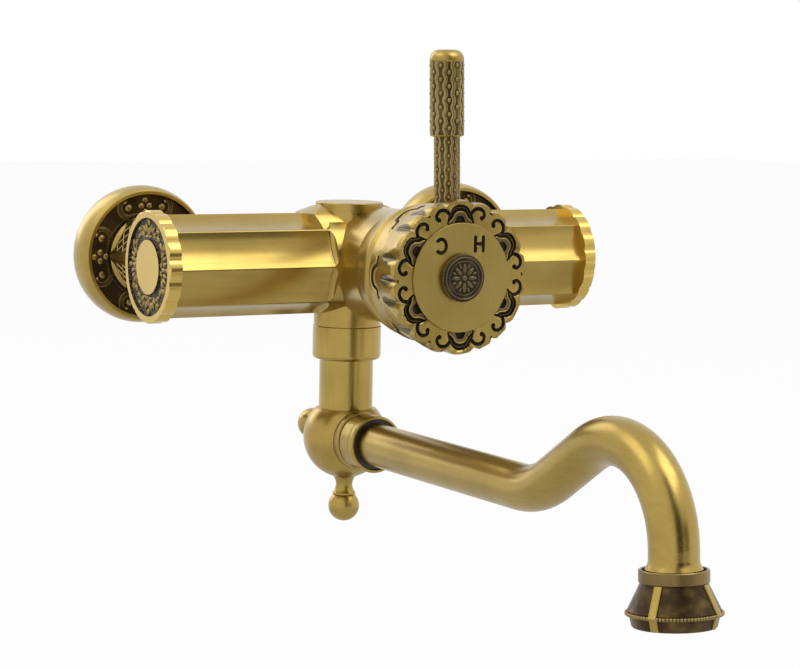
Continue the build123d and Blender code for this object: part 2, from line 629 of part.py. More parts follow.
def inlet_passages(side):
    """Inlet bore, end chamber and the drilled duct to the cartridge seat, on one side."""
    spigot_end = INLET_BOSS_OUT + TAIL_SPIGOT + SEAT_PLAY
    port = (side * PORT_X, PORT_Z, SEAT_AHEAD)
    elbow = (side * PORT_X, PORT_Z, DUCT_AHEAD)
    chamber = (side * (CHAMBER_START + DUCT_RADIUS), PORT_Z, DUCT_AHEAD)
    hollow = out_of_wall(side) * rod(TAIL_SPIGOT_RADIUS + THREAD_PLAY, INLET_BOSS_OUT, spigot_end)
    hollow += out_of_wall(side) * rod(TAIL_BORE, INLET_BOSS_OUT, BODY_REACH)
    hollow += along_bar(side) * rod(CHAMBER_RADIUS, CHAMBER_START, CHAMBER_END)
    hollow += along_bar(side) * rod(CAP_THREAD_RADIUS, CHAMBER_END, BAR_HALF)
    hollow += forward() * (duct(DUCT_RADIUS, elbow, port) + duct(DUCT_RADIUS, elbow, chamber))
    return hollow + forward() * (Pos(*elbow) * Sphere(DUCT_RADIUS))


def body_casting():
    """Hollow brass body: bar, inlet bosses, cartridge boss, spout neck and plug saddle."""
    shape = fluted_bar() + cartridge_boss() + plug_saddle() + above() * rod(PLUG_RADIUS, 0, PLUG_SEAT_ABOVE)
    shape += below() * (rod(NECK_RADIUS, 0, NECK_BELOW) + rod(NECK_THREAD_RADIUS, 0, NECK_THREAD_BELOW))
    for side in SIDES.values():
        shape += out_of_wall(side) * rod(INLET_BOSS_RADIUS, INLET_BOSS_OUT, BODY_REACH)
    for side in SIDES.values():
        shape -= inlet_passages(side)
    shape -= above() * rod(PLUG_RADIUS + THREAD_PLAY, PLUG_SEAT_ABOVE, PLUG_TOP_ABOVE)
    shape -= above() * rod(PLUG_THREAD_RADIUS, PLUG_SEAT_ABOVE - PLUG_THREAD - SEAT_PLAY, PLUG_SEAT_ABOVE)
    shape -= below() * rod(SPOUT_BORE, -PLUG_SEAT_ABOVE, NECK_THREAD_BELOW)
    shape -= forward() * rod(CARTRIDGE_RADIUS + SEAT_PLAY, SEAT_AHEAD, SPIGOT_AHEAD)
    shape -= forward() * rod(RETAINER_RADIUS, HOUSING_SHOULDER_AHEAD - RETAINER_RELIEF, SPIGOT_AHEAD)
    mix_passage = duct(MIX_PORT_RADIUS, (0, MIX_PORT_Z, SEAT_AHEAD), (SPOUT_X / 2, MIX_PORT_Z, 0))
    return shape - forward() * mix_passage


def end_cap(side):
    """Lobed end cap with a sunk ornament ring, a plain disc and a threaded spigot."""
    face = BAR_HALF + CAP_THICK
    spigot = CAP_THREAD_RADIUS - THREAD_PLAY
    spigot_end = BAR_HALF - CAP_THREAD_DEPTH + CAP_SPIGOT_GAP
    outline = lobed_face(CAP_RADIUS, CAP_RADIUS - CAP_LOBE_DEPTH, [180 / CAP_LOBES] * CAP_LOBES)
    shape = extrude(Pos(0, 0, BAR_HALF) * outline, CAP_THICK)
    shape &= turned((0, BAR_HALF), (CAP_RADIUS, BAR_HALF), (CAP_RADIUS, face, CAP_RIM_ROUND), (0, face))
    shape += pipe(spigot, spigot - CAP_SPIGOT_WALL, spigot_end, BAR_HALF)
    shape -= pipe(CAP_RECESS_RADIUS, CAP_DISC_RADIUS, face - CAP_RECESS, face)
    shape -= pipe(CAP_THREAD_RADIUS + CAP_SEAL_WIDTH, spigot, BAR_HALF, BAR_HALF + CAP_SEAL_THICK)
    return along_bar(side) * shape


def end_cap_seal(side):
    """Rubber ring under an end cap."""
    outer = CAP_THREAD_RADIUS + CAP_SEAL_WIDTH
    return along_bar(side) * pipe(outer, CAP_THREAD_RADIUS, BAR_HALF, BAR_HALF + CAP_SEAL_THICK)


def top_plug():
    """Round plug that closes the drilling above the spout."""
    thread = PLUG_THREAD_RADIUS - THREAD_PLAY
    groove = pipe(PLUG_THREAD_RADIUS + SEAL_WIDTH, thread, PLUG_SEAT_ABOVE, PLUG_SEAT_ABOVE + SEAL_THICK)
    shape = turned((0, PLUG_SEAT_ABOVE), (PLUG_RADIUS, PLUG_SEAT_ABOVE),
                   (PLUG_RADIUS, PLUG_TOP_ABOVE, PLUG_TOP_ROUND), (0, PLUG_TOP_ABOVE))
    shape += rod(thread, PLUG_SEAT_ABOVE - PLUG_THREAD, PLUG_SEAT_ABOVE)
    return above() * (shape - groove)


def top_plug_seal():
    """Rubber ring under the top plug."""
    outer = PLUG_THREAD_RADIUS + SEAL_WIDTH
    return above() * pipe(outer, PLUG_THREAD_RADIUS, PLUG_SEAT_ABOVE, PLUG_SEAT_ABOVE + SEAL_THICK)


def port_places():
    """Centre and radius of the hot, cold and mixed ports on the cartridge seat."""
    return [(-PORT_X, PORT_Z, DUCT_RADIUS), (PORT_X, PORT_Z, DUCT_RADIUS), (0, MIX_PORT_Z, MIX_PORT_RADIUS)]


def ported(shape, start, end, extra=0.0):
    """Drill the three ports through a cartridge piece."""
    for x, y, radius in port_places():
        shape -= Pos(x, y, 0) * rod(radius + extra, start, end)
    return shape


def cartridge_base():
    """Plastic foot of the cartridge, with a seal pocket round each port."""
    shape = ported(rod(CARTRIDGE_RADIUS, SEAT_AHEAD, BASE_TOP_AHEAD), SEAT_AHEAD, BASE_TOP_AHEAD)
    return forward() * ported(shape, SEAT_AHEAD, SEAT_AHEAD + PORT_SEAL_THICK, PORT_SEAL_WIDTH)


def port_seals():
    """Three rubber rings that seal the cartridge to its seat."""
    seals = [Pos(x, y, 0) * pipe(radius + PORT_SEAL_WIDTH, radius, SEAT_AHEAD, SEAT_AHEAD + PORT_SEAL_THICK)
             for x, y, radius in port_places()]
    return Compound([forward() * seal for seal in seals])


def fixed_disc():
    """Lower ceramic disc, with the three ports."""
    top = BASE_TOP_AHEAD + DISC_THICK
    return forward() * ported(rod(DISC_RADIUS, BASE_TOP_AHEAD, top), BASE_TOP_AHEAD, top)


def moving_disc():
    """Upper ceramic disc, with the mixing pocket in its sliding face."""
    pocket = Box(MOVING_POCKET_WIDTH, MOVING_POCKET_HEIGHT, 2 * MOVING_POCKET_DEEP)
    shape = rod(MOVING_DISC_RADIUS, MOVING_DISC_AHEAD, CARRIER_AHEAD)
    return forward() * (shape - Pos(0, -MOVING_POCKET_DROP, MOVING_DISC_AHEAD) * pocket)


def disc_carrier():
    """Plastic carrier that the stem's tip pushes along with the moving disc."""
    front = CARRIER_AHEAD + CARRIER_THICK
    return forward() * pipe(MOVING_DISC_RADIUS, STEM_TIP_RADIUS + STEM_TIP_PLAY, CARRIER_AHEAD, front)


def cartridge_housing():
    """Plastic shell round the discs and the rotor."""
    shape = rod(CARTRIDGE_RADIUS, BASE_TOP_AHEAD, HOUSING_SHOULDER_AHEAD)
    shape += rod(HOUSING_NECK_RADIUS, HOUSING_SHOULDER_AHEAD, HOUSING_TOP_AHEAD)
    shape -= rod(DISC_RADIUS + RUN_PLAY, BASE_TOP_AHEAD, ROTOR_SHOULDER_AHEAD + SEAT_PLAY)
    return forward() * (shape - rod(ROTOR_NECK_RADIUS + RUN_PLAY, ROTOR_SHOULDER_AHEAD, HOUSING_TOP_AHEAD))


def cartridge_rotor():
    """Plastic rotor that turns in the housing and carries the tilting pin."""
    length = ROTOR_TOP_AHEAD - ROTOR_BACK_AHEAD
    slot = Box(STEM_WIDTH + 2 * ROTOR_SLOT_PLAY, ROTOR_SLOT_UP + ROTOR_SLOT_DOWN, length)
    shape = rod(DISC_RADIUS, ROTOR_BACK_AHEAD, ROTOR_SHOULDER_AHEAD)
    shape += rod(ROTOR_NECK_RADIUS, ROTOR_SHOULDER_AHEAD, ROTOR_TOP_AHEAD)
    shape -= Pos(0, (ROTOR_SLOT_UP - ROTOR_SLOT_DOWN) / 2, ROTOR_BACK_AHEAD + length / 2) * slot
    return forward() * (shape - cross_pin(PIVOT_RADIUS, 2 * (DISC_RADIUS - PIVOT_END_GAP), PIVOT_AHEAD))


def pivot_pin():
    """Steel pin that the stem tilts on."""
    return forward() * cross_pin(PIVOT_RADIUS, 2 * (DISC_RADIUS - PIVOT_END_GAP), PIVOT_AHEAD)


def cartridge_stem():
    """Brass stem: ball tip, pivot block and square shank with a tapped end."""
    shape = Pos(0, 0, STEM_TIP_AHEAD) * Sphere(STEM_TIP_RADIUS)
    shape += rod(STEM_NECK_RADIUS, STEM_TIP_AHEAD, STEM_BLOCK_AHEAD)
    shape += block(STEM_WIDTH, STEM_BLOCK_AHEAD, STEM_END_AHEAD)
    shape -= cross_pin(PIVOT_RADIUS + RUN_PLAY, STEM_WIDTH, PIVOT_AHEAD)
    screw_end = STEM_END_AHEAD - HUB_SCREW_BITE - SEAT_PLAY
    return forward() * (shape - rod(HUB_SCREW_RADIUS + THREAD_PLAY, screw_end, STEM_END_AHEAD))


def retaining_nut():
    """Notched ring that holds the cartridge on its seat."""
    hole = HOUSING_NECK_RADIUS + RETAINER_HOLE_PLAY
    shape = pipe(RETAINER_RADIUS - THREAD_PLAY, hole, HOUSING_SHOULDER_AHEAD, RETAINER_TOP_AHEAD)
    notch = Box(4 * (RETAINER_RADIUS - hole), RETAINER_NOTCH, RETAINER_NOTCH)
    for spot in PolarLocations(RETAINER_RADIUS, RETAINER_NOTCHES):
        shape -= Pos(0, 0, RETAINER_TOP_AHEAD) * spot * notch
    return forward() * shape


def cartridge_shroud():
    """Bell that screws over the cartridge boss and flares towards the handle."""
    thread = SPIGOT_RADIUS + THREAD_PLAY
    waist = SEAM_RADIUS + SHROUD_WAIST_RISE
    lip_start = SHROUD_FRONT_AHEAD - SHROUD_LIP
    mouth = SHROUD_LIP_RADIUS - SHROUD_MOUTH_WALL
    shape = turned((thread, SEAM_AHEAD), (SEAM_RADIUS, SEAM_AHEAD),
                   (waist, SEAM_AHEAD + SHROUD_WAIST_LENGTH, waist),
                   (SHROUD_LIP_RADIUS, lip_start, SHROUD_LIP),
                   (SHROUD_LIP_RADIUS - SHROUD_LIP / 2, SHROUD_FRONT_AHEAD), (mouth, SHROUD_FRONT_AHEAD),
                   (thread, WEB_FRONT_AHEAD), (SHROUD_HOLE, WEB_FRONT_AHEAD), (SHROUD_HOLE, WEB_BACK_AHEAD),
                   (thread, WEB_BACK_AHEAD))
    return forward() * shape


def hub_outline():
    """Rim outline: an arch lobe and two scroll lobes for each motif."""
    scroll = (180 / HUB_MOTIFS - ARCH_HALF_ANGLE) / 2
    lobes = [ARCH_HALF_ANGLE, scroll, scroll] * HUB_MOTIFS
    return Rot(0, 0, HANDLE_LEAN) * lobed_face(HUB_CREST_RADIUS, HUB_CREST_RADIUS - HUB_LOBE_DEPTH, lobes)


def handle_hub():
    """Lobed drum: hollow skirt, front web, socket for the stem and seat for the lever."""
    waist = HUB_BACK_RADIUS + HUB_WAIST_RISE
    lever = lever_axis()
    drum = turned((0, HUB_BACK_AHEAD), (HUB_BACK_RADIUS, HUB_BACK_AHEAD),
                  (waist, HUB_BACK_AHEAD + HUB_WAIST, waist),
                  (HUB_CREST_RADIUS, HUB_CREST_AHEAD, HUB_CREST_ROUND),
                  (HUB_CREST_RADIUS - HUB_FACE_INSET, HUB_FRONT_AHEAD), (0, HUB_FRONT_AHEAD))
    cavity = turned((0, HUB_BACK_AHEAD), (HUB_SKIRT_RADIUS, HUB_BACK_AHEAD),
                    (HUB_SKIRT_RADIUS, HUB_BACK_AHEAD + HUB_SKIRT),
                    (HUB_SKIRT_RADIUS - HUB_CAVITY_STEP, HUB_CAVITY_AHEAD), (0, HUB_CAVITY_AHEAD))
    socket_back = HUB_BACK_AHEAD - HUB_SOCKET_PROUD
    shape = (extrude(Pos(0, 0, HUB_BACK_AHEAD) * hub_outline(), HUB_DEPTH) & drum) - cavity
    shape += rod(HUB_SOCKET_RADIUS, socket_back, HUB_CAVITY_AHEAD)
    shape += lever * rod(LEVER_PAD_RADIUS, LEVER_PAD_ABOVE, HUB_SKIRT_RADIUS)
    shape -= block(STEM_WIDTH + 2 * HUB_SOCKET_PLAY, socket_back, STEM_END_AHEAD + SEAT_PLAY)
    shape -= rod(HUB_SCREW_HOLE, STEM_END_AHEAD, HUB_SCREW_SEAT_AHEAD)
    shape -= rod(INDEX_SOCKET_RADIUS, HUB_SCREW_SEAT_AHEAD, HUB_FRONT_AHEAD)
    shape -= rod(FACE_PLATE_RADIUS + THREAD_PLAY, PLATE_BACK_AHEAD, HUB_FRONT_AHEAD)
    shape -= lever * rod(LEVER_ROD_RADIUS + THREAD_PLAY, LEVER_SEAT_ABOVE, GRIP_FOOT_ABOVE)
    shape -= lever * rod(LEVER_THREAD_RADIUS + THREAD_PLAY, LEVER_PAD_ABOVE, LEVER_SEAT_ABOVE)
    return forward() * shape


def face_plate():
    """Plain disc let into the drum's front."""
    return forward() * turned(
        (INDEX_SOCKET_RADIUS, PLATE_BACK_AHEAD), (FACE_PLATE_RADIUS, PLATE_BACK_AHEAD),
        (FACE_PLATE_RADIUS, PLATE_FRONT_AHEAD, FACE_PLATE_ROUND), (INDEX_SOCKET_RADIUS, PLATE_FRONT_AHEAD))


def hub_screw():
    """Socket screw that draws the drum onto the stem."""
    seat = HUB_SCREW_SEAT_AHEAD
    shape = rod(HUB_SCREW_HEAD_RADIUS, seat, seat + HUB_SCREW_HEAD)
    shape += rod(HUB_SCREW_RADIUS, STEM_END_AHEAD - HUB_SCREW_BITE, seat)
    key = extrude(Pos(0, 0, seat + HUB_SCREW_HEAD / 2) * RegularPolygon(HUB_SCREW_KEY, 6), HUB_SCREW_HEAD)
    return forward() * (shape - key)


def index_cap():
    """Round cap that hides the screw."""
    front = PLATE_FRONT_AHEAD + INDEX_CAP_PROUD
    spigot_end = HUB_SCREW_SEAT_AHEAD + HUB_SCREW_HEAD + INDEX_SPIGOT_GAP
    shape = turned((0, PLATE_FRONT_AHEAD), (INDEX_CAP_RADIUS, PLATE_FRONT_AHEAD),
                   (INDEX_CAP_RADIUS, front - INDEX_CAP_CHAMFER),
                   (INDEX_CAP_RADIUS - INDEX_CAP_CHAMFER, front), (0, front))
    return forward() * (shape + rod(INDEX_SPIGOT_RADIUS, spigot_end, PLATE_FRONT_AHEAD))


def lever_rod():
    """Round rod screwed into the drum, with a core that carries the grip."""
    shape = rod(LEVER_ROD_RADIUS, LEVER_SEAT_ABOVE, GRIP_FOOT_ABOVE)
    shape += rod(LEVER_THREAD_RADIUS, LEVER_SEAT_ABOVE - LEVER_THREAD, LEVER_SEAT_ABOVE)
    shape += rod(GRIP_BORE - THREAD_PLAY, GRIP_FOOT_ABOVE, GRIP_BORE_ABOVE)
    return forward() * (lever_axis() * shape)


def lever_grip():
    """Thicker sleeve with a domed top."""
    shape = turned((0, GRIP_FOOT_ABOVE), (GRIP_RADIUS, GRIP_FOOT_ABOVE, GRIP_FOOT_ROUND),
                   (GRIP_RADIUS, GRIP_TOP_ABOVE, GRIP_DOME), (0, GRIP_TOP_ABOVE))
    shape -= rod(GRIP_BORE, GRIP_FOOT_ABOVE, GRIP_BORE_ABOVE + SEAT_PLAY)
    return forward() * (lever_axis() * shape)


def spout_ring_nut():
    """Ring nut that holds the turning column on the body's neck."""
    hole = COLUMN_RADIUS + RUN_PLAY
    return below() * turned(
        (RING_NUT_BORE, RING_NUT_TOP_BELOW), (RING_NUT_RADIUS, RING_NUT_TOP_BELOW, RING_NUT_TOP_ROUND),
        (RING_NUT_RADIUS, RING_NUT_FOOT_BELOW, RING_NUT_ROUND), (hole, RING_NUT_FOOT_BELOW),
        (hole, RING_NUT_LEDGE_BELOW), (RING_NUT_BORE, RING_NUT_LEDGE_BELOW))


def swivel_washer():
    """Slippery washer between the neck and the column's collar."""
    washer_foot = NECK_THREAD_BELOW + SWIVEL_WASHER
    return below() * pipe(RING_NUT_BORE - RUN_PLAY, SPOUT_BORE + SEAT_PLAY, NECK_THREAD_BELOW, washer_foot)


def spout_column():
    """Turning column: sealed insert, collar, plain barrel and the spigot into the ball."""
    insert = SPOUT_BORE - RUN_PLAY
    groove_width = ORING_WIDTH + 2 * ORING_GROOVE_PLAY
    shape = rod(insert, INSERT_TOP_BELOW, COLLAR_FOOT_BELOW)
    shape += rod(RING_NUT_BORE - RUN_PLAY, COLLAR_TOP_BELOW, COLLAR_FOOT_BELOW)
    shape += rod(COLUMN_RADIUS, COLLAR_FOOT_BELOW, BALL_FLAT_BELOW)
    shape += rod(COLUMN_SPIGOT_RADIUS, BALL_FLAT_BELOW, COLUMN_FOOT_BELOW)
    for start in ORING_STARTS:
        groove = start - ORING_GROOVE_PLAY
        shape -= pipe(SPOUT_BORE, SPOUT_BORE - ORING_DEPTH, groove, groove + groove_width)
    return below() * (shape - rod(COLUMN_BORE, INSERT_TOP_BELOW, COLUMN_FOOT_BELOW))


def spout_orings():
    """Rubber rings on the column's insert."""
    inner = SPOUT_BORE - ORING_DEPTH
    outer = SPOUT_BORE - RUN_PLAY / 2
    rings = [turned((inner, start), (outer, start, ORING_ROUND), (outer, start + ORING_WIDTH, ORING_ROUND),
                    (inner, start + ORING_WIDTH)) for start in ORING_STARTS]
    return Compound([below() * ring for ring in rings])


def finial_socket():
    """Counterbore and stud hole for a finial, along Z from the ball's centre."""
    seat = rod(FINIAL_BASE_RADIUS + SEAT_PLAY, FINIAL_SEAT, BALL_RADIUS)
    return seat + rod(FINIAL_STUD_RADIUS, FINIAL_SEAT - FINIAL_STUD, FINIAL_SEAT)


def spout_ball():
    """Hollow ball that joins the column, the arm and two finials."""
    ball = Sphere(BALL_RADIUS) - rod(BALL_RADIUS, ARM_SEAT, BALL_RADIUS)
    ball -= rod(ARM_SPIGOT_RADIUS + THREAD_PLAY, ARM_SEAT - ARM_SPIGOT - SEAT_PLAY, ARM_SEAT)
    ball -= rod(ARM_BORE, 0, ARM_SEAT)
    ball = arm_frame() * (ball - Rot(180 + REAR_FINIAL_RISE, 0, 0) * finial_socket())
    ball -= below() * rod(BALL_RADIUS, BALL_FLAT_BELOW - BALL_RADIUS, BALL_FLAT_BELOW)
    ball -= below() * rod(COLUMN_SPIGOT_RADIUS + THREAD_PLAY, BALL_FLAT_BELOW, COLUMN_FOOT_BELOW + SEAT_PLAY)
    ball -= below() * rod(COLUMN_BORE, BALL_FLAT_BELOW, BALL_BELOW)
    return ball - below() * (Pos(0, 0, BALL_BELOW) * finial_socket())


def finial():
    """Waisted knob with a small ball, on a stud, along Z from the big ball's centre."""
    flare_end = FINIAL_FLARE + FINIAL_FLARE_THICK
    waist = ThreePointArc((FINIAL_BASE_RADIUS, FINIAL_SEAT), (FINIAL_NECK_RADIUS, FINIAL_NECK),
                          (FINIAL_FLARE_RADIUS, FINIAL_FLARE))
    rest = Polyline((FINIAL_FLARE_RADIUS, FINIAL_FLARE), (FINIAL_FLARE_RADIUS, flare_end),
                    (FINIAL_NECK_RADIUS, flare_end), (FINIAL_NECK_RADIUS, FINIAL_BALL), (0, FINIAL_BALL),
                    (0, FINIAL_SEAT), (FINIAL_BASE_RADIUS, FINIAL_SEAT))
    shape = revolve(Plane.XZ * make_face([waist, rest]), Axis.Z)
    shape += Pos(0, 0, FINIAL_BALL) * Sphere(FINIAL_BALL_RADIUS)
    return shape + rod(FINIAL_STUD_RADIUS - THREAD_PLAY, FINIAL_SEAT - FINIAL_STUD + SEAT_PLAY, FINIAL_SEAT)


def rear_finial():
    """Knob on the ball's back, nearly in line with the arm."""
    return arm_frame() * (Rot(180 + REAR_FINIAL_RISE, 0, 0) * finial())


def bottom_finial():
    """Knob under the ball."""
    return below() * (Pos(0, 0, BALL_BELOW) * finial())


def arm_collar():
    """Ringed collar that screws into the ball and holds the tube."""
    groove = COLLAR_BAND_RADIUS - COLLAR_GROOVE_DEEP
    socket = TUBE_RADIUS + THREAD_PLAY
    spigot_back = ARM_SEAT - ARM_SPIGOT
    return arm_frame() * turned(
        (ARM_BORE, spigot_back), (ARM_SPIGOT_RADIUS, spigot_back), (ARM_SPIGOT_RADIUS, ARM_SEAT),
        (COLLAR_BEAD_RADIUS, ARM_SEAT, COLLAR_BEAD_BACK_ROUND),
        (COLLAR_BEAD_RADIUS, BEAD_END, COLLAR_BEAD_ROUND),
        (groove, BEAD_END), (groove, BAND_START), (COLLAR_BAND_RADIUS, BAND_START, COLLAR_BAND_ROUND),
        (COLLAR_BAND_RADIUS, BAND_END, COLLAR_BAND_ROUND), (groove, BAND_END), (groove, LIP_START),
        (COLLAR_LIP_RADIUS, LIP_START, COLLAR_LIP_BACK_ROUND),
        (COLLAR_LIP_RADIUS, LIP_END, COLLAR_LIP_ROUND),
        (COLLAR_MOUTH_RADIUS, LIP_END), (COLLAR_MOUTH_RADIUS, MOUTH_FLOOR), (socket, MOUTH_FLOOR),
        (socket, TUBE_START), (ARM_BORE, TUBE_START))


def collar_ring():
    """Dark plastic ring in the collar's mouth, round the tube."""
    return arm_frame() * pipe(COLLAR_MOUTH_RADIUS, TUBE_RADIUS, MOUTH_FLOOR, MOUTH_FLOOR + COLLAR_RING_THICK)


def tube_runs():
    """Lines and arcs of the tube's centre line, in its upright plane."""
    along = arm_frame()
    arm = Line((TUBE_START, 0), (TUBE_ARM, 0))
    lift = JernArc(arm @ 1, arm % 1, TUBE_RISE_BEND, TUBE_RISE - ARM_RISE)
    slope = Line(lift @ 1, lift @ 1 + (lift % 1) * TUBE_SLOPE)
    crown = JernArc(slope @ 1, slope % 1, TUBE_CROWN_BEND, -TUBE_RISE - TUBE_DROP)
    tail = Line(crown @ 1, crown @ 1 + (crown % 1) * TUBE_TAIL)
    upright = Plane(origin=along.origin, x_dir=along.z_dir, z_dir=(-1, 0, 0))
    return [upright * run for run in (arm, lift, slope, crown, tail)]


def swan_neck(radius):
    """Solid of one radius swept along the tube's centre line."""
    runs = tube_runs()
    section = Plane(origin=runs[0] @ 0, z_dir=runs[0] % 0) * Circle(radius)
    return sweep(section, path=Curve() + runs)


def spout_tube():
    """Bent brass tube."""
    return swan_neck(TUBE_RADIUS) - swan_neck(TUBE_RADIUS - TUBE_WALL)


def outlet_frame():
    """Frame at the bell's upper rim: its z runs out of the spout."""
    tail = tube_runs()[-1]
    heading = tail % 1
    return Plane(origin=tail @ 1 + heading * NIPPLE_SHOW, x_dir=(1, 0, 0), z_dir=heading)


def outlet_nipple():
    """Flared nipple in the tube's end, threaded for the bell."""
    flare = TUBE_RADIUS + NIPPLE_FLARE
    shape = turned((NIPPLE_BORE, -NIPPLE_SHOW), (TUBE_RADIUS, -NIPPLE_SHOW),
                   (TUBE_RADIUS, -NIPPLE_SHOW / 2, NIPPLE_SHOW), (flare, 0), (flare, NIPPLE_FLANGE),
                   (NIPPLE_THREAD_RADIUS, NIPPLE_FLANGE), (NIPPLE_THREAD_RADIUS, NIPPLE_THREAD),
                   (NIPPLE_BORE, NIPPLE_THREAD))
    plug = TUBE_RADIUS - TUBE_WALL - THREAD_PLAY
    return outlet_frame() * (shape + pipe(plug, NIPPLE_BORE, -NIPPLE_SHOW - TUBE_TAIL, -NIPPLE_SHOW))


def bell_outline(proud=0.0):
    """Outside of the bell below its cup, from the throat to the foot."""
    return [(BELL_THROAT_RADIUS + proud, BELL_CUP), (BELL_SKIRT_RADIUS + proud, BELL_SKIRT),
            (BELL_LIP_RADIUS + proud, BELL_LIP), (BELL_FOOT_RADIUS + proud, BELL_LENGTH)]


def aerator_bell():
    """Flared aerator housing: open cup, strapped cone, bead ring and foot."""
    shape = turned((0, 0), (BELL_CUP_RADIUS, 0, BELL_CUP_ROUND), (BELL_CUP_RADIUS, BELL_CUP, BELL_CUP_ROUND),
                   *bell_outline(), (0, BELL_LENGTH))
    shape += Pos(0, 0, BELL_BEAD) * Torus(BELL_BEAD_CENTRE, BELL_BEAD_RADIUS)
    strap_body = turned((0, BELL_CUP), *bell_outline(STRAP_PROUD), (0, BELL_LENGTH))
    for number in range(STRAPS):
        bar = Box(2 * BELL_SKIRT_RADIUS, STRAP_WIDTH, BELL_LENGTH)
        turn = Rot(0, 0, 90 - STRAP_ANGLE + number * 360 / STRAPS)
        shape += strap_body & (turn * Pos(BELL_SKIRT_RADIUS, 0, BELL_LENGTH / 2) * bar)
    shape -= rod(BELL_CUP_RADIUS - BELL_CUP_WALL, 0, BELL_CUP_FLOOR)
    shape -= rod(NIPPLE_THREAD_RADIUS + THREAD_PLAY, BELL_CUP_FLOOR, BELL_CHAMBER)
    return outlet_frame() * (shape - rod(BELL_CHAMBER_RADIUS, BELL_CHAMBER, BELL_LENGTH))


def aerator_washer():
    """Rubber washer above the aerator insert."""
    outer = BELL_CHAMBER_RADIUS - THREAD_PLAY
    return outlet_frame() * pipe(outer, AERATOR_WASHER_HOLE, BELL_CHAMBER, AERATOR_START)


def aerator_insert():
    """Plastic insert with a perforated face that mixes air into the water."""
    outer = BELL_CHAMBER_RADIUS - THREAD_PLAY
    shape = rod(outer, AERATOR_START, AERATOR_FOOT)
    shape -= rod(outer - AERATOR_WALL, AERATOR_START, AERATOR_FOOT - AERATOR_WALL)
    holes = rings_of_holes(AERATOR_HOLE, 4 * AERATOR_WALL, AERATOR_PITCH, AERATOR_RINGS)
    return outlet_frame() * (shape - [Pos(0, 0, AERATOR_FOOT) * hole for hole in holes])


SIDED_PIECES = [eccentric, wall_flange, union_nut, union_gasket, strainer, inlet_tail, end_cap, end_cap_seal]
SINGLE_PIECES = [body_casting, top_plug, top_plug_seal, cartridge_base, port_seals, fixed_disc, moving_disc,
                 disc_carrier, cartridge_housing, cartridge_rotor, pivot_pin, cartridge_stem, retaining_nut,
                 cartridge_shroud, handle_hub, face_plate, hub_screw, index_cap, lever_rod, lever_grip,
                 spout_ring_nut, swivel_washer, spout_column, spout_orings, spout_ball, rear_finial,
                 bottom_finial, arm_collar, collar_ring, spout_tube, outlet_nipple, aerator_bell,
                 aerator_washer, aerator_insert]

for piece in SIDED_PIECES:
    for place, side in SIDES.items():
        export_step(piece(side), f"parts/{piece.__name__}_{place}.step")
for piece in SINGLE_PIECES:
    export_step(piece(), f"parts/{piece.__name__}.step")
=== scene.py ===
import json
from math import atan2, cos, pi, radians, sin, tau

import bpy
from mathutils import Matrix, Vector


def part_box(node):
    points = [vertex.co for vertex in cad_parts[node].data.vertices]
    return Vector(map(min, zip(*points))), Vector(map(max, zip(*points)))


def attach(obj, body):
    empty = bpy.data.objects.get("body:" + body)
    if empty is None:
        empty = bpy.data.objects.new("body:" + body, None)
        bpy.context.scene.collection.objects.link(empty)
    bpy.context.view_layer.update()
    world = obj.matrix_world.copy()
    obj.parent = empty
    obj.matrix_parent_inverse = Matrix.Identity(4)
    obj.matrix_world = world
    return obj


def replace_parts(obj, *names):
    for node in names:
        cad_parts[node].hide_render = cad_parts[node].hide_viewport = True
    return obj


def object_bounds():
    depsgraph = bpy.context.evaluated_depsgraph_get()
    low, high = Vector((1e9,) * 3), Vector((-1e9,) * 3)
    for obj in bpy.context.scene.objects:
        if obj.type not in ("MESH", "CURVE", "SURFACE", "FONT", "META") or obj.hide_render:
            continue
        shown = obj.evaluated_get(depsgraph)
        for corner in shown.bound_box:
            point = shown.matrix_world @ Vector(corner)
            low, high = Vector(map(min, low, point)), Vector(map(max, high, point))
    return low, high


# Looks of a wall-mounted basin mixer in aged brass. Metres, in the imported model's frame:
# +X right along the bar, +Y into the wall, +Z up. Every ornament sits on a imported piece.
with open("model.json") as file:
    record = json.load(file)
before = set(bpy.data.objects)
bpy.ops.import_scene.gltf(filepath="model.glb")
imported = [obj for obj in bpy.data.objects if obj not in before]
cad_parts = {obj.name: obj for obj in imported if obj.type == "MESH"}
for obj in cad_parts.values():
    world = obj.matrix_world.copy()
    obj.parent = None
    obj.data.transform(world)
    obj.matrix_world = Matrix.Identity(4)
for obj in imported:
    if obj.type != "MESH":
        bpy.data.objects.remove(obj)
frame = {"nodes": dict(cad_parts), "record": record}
nodes = frame["nodes"]
cad_low, cad_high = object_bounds()

# Camera, fitted to the photograph
CAMERA_PLACE = (-0.49176, -0.96509, 0.09341)
CAMERA_YAW = radians(29.447)
CAMERA_DROP = radians(6.434)
CAMERA_ROLL = radians(1.195)
CAMERA_LENS = 112.49
CAMERA_SENSOR = 36.0

# Colours; a pair of shades is the main one and the one in its clouds
BRASS = (0.43, 0.302, 0.074, 1.0)
BRASS_SHADE = (0.34, 0.232, 0.05, 1.0)
# Lighter brass for the nut lattice and the drum's back arches, and as a painted glint on the flange scroll
# ends
BRASS_LIGHTER = (0.56, 0.41, 0.14, 1.0)
PATINA = (0.045, 0.026, 0.008, 1.0)
PATINA_WARM = (0.10, 0.062, 0.018, 1.0)
SOOT = (0.012, 0.010, 0.007, 1.0)
# Painted shade of the ovals in the drum's valleys
OVAL_PAINTED_SHADE = (0.10, 0.083, 0.045, 1.0)
STIPPLE_PIT = (0.03, 0.025, 0.015, 1.0)
STIPPLE_TIP = (0.42, 0.34, 0.18, 1.0)
BEAD_SHADES = ((0.36, 0.255, 0.085, 1.0), (0.22, 0.15, 0.045, 1.0))
LEVER_SHADES = ((0.34, 0.245, 0.085, 1.0), (0.24, 0.17, 0.055, 1.0))
DISC_SHADES = ((0.42, 0.30, 0.08, 1.0), (0.36, 0.25, 0.06, 1.0))
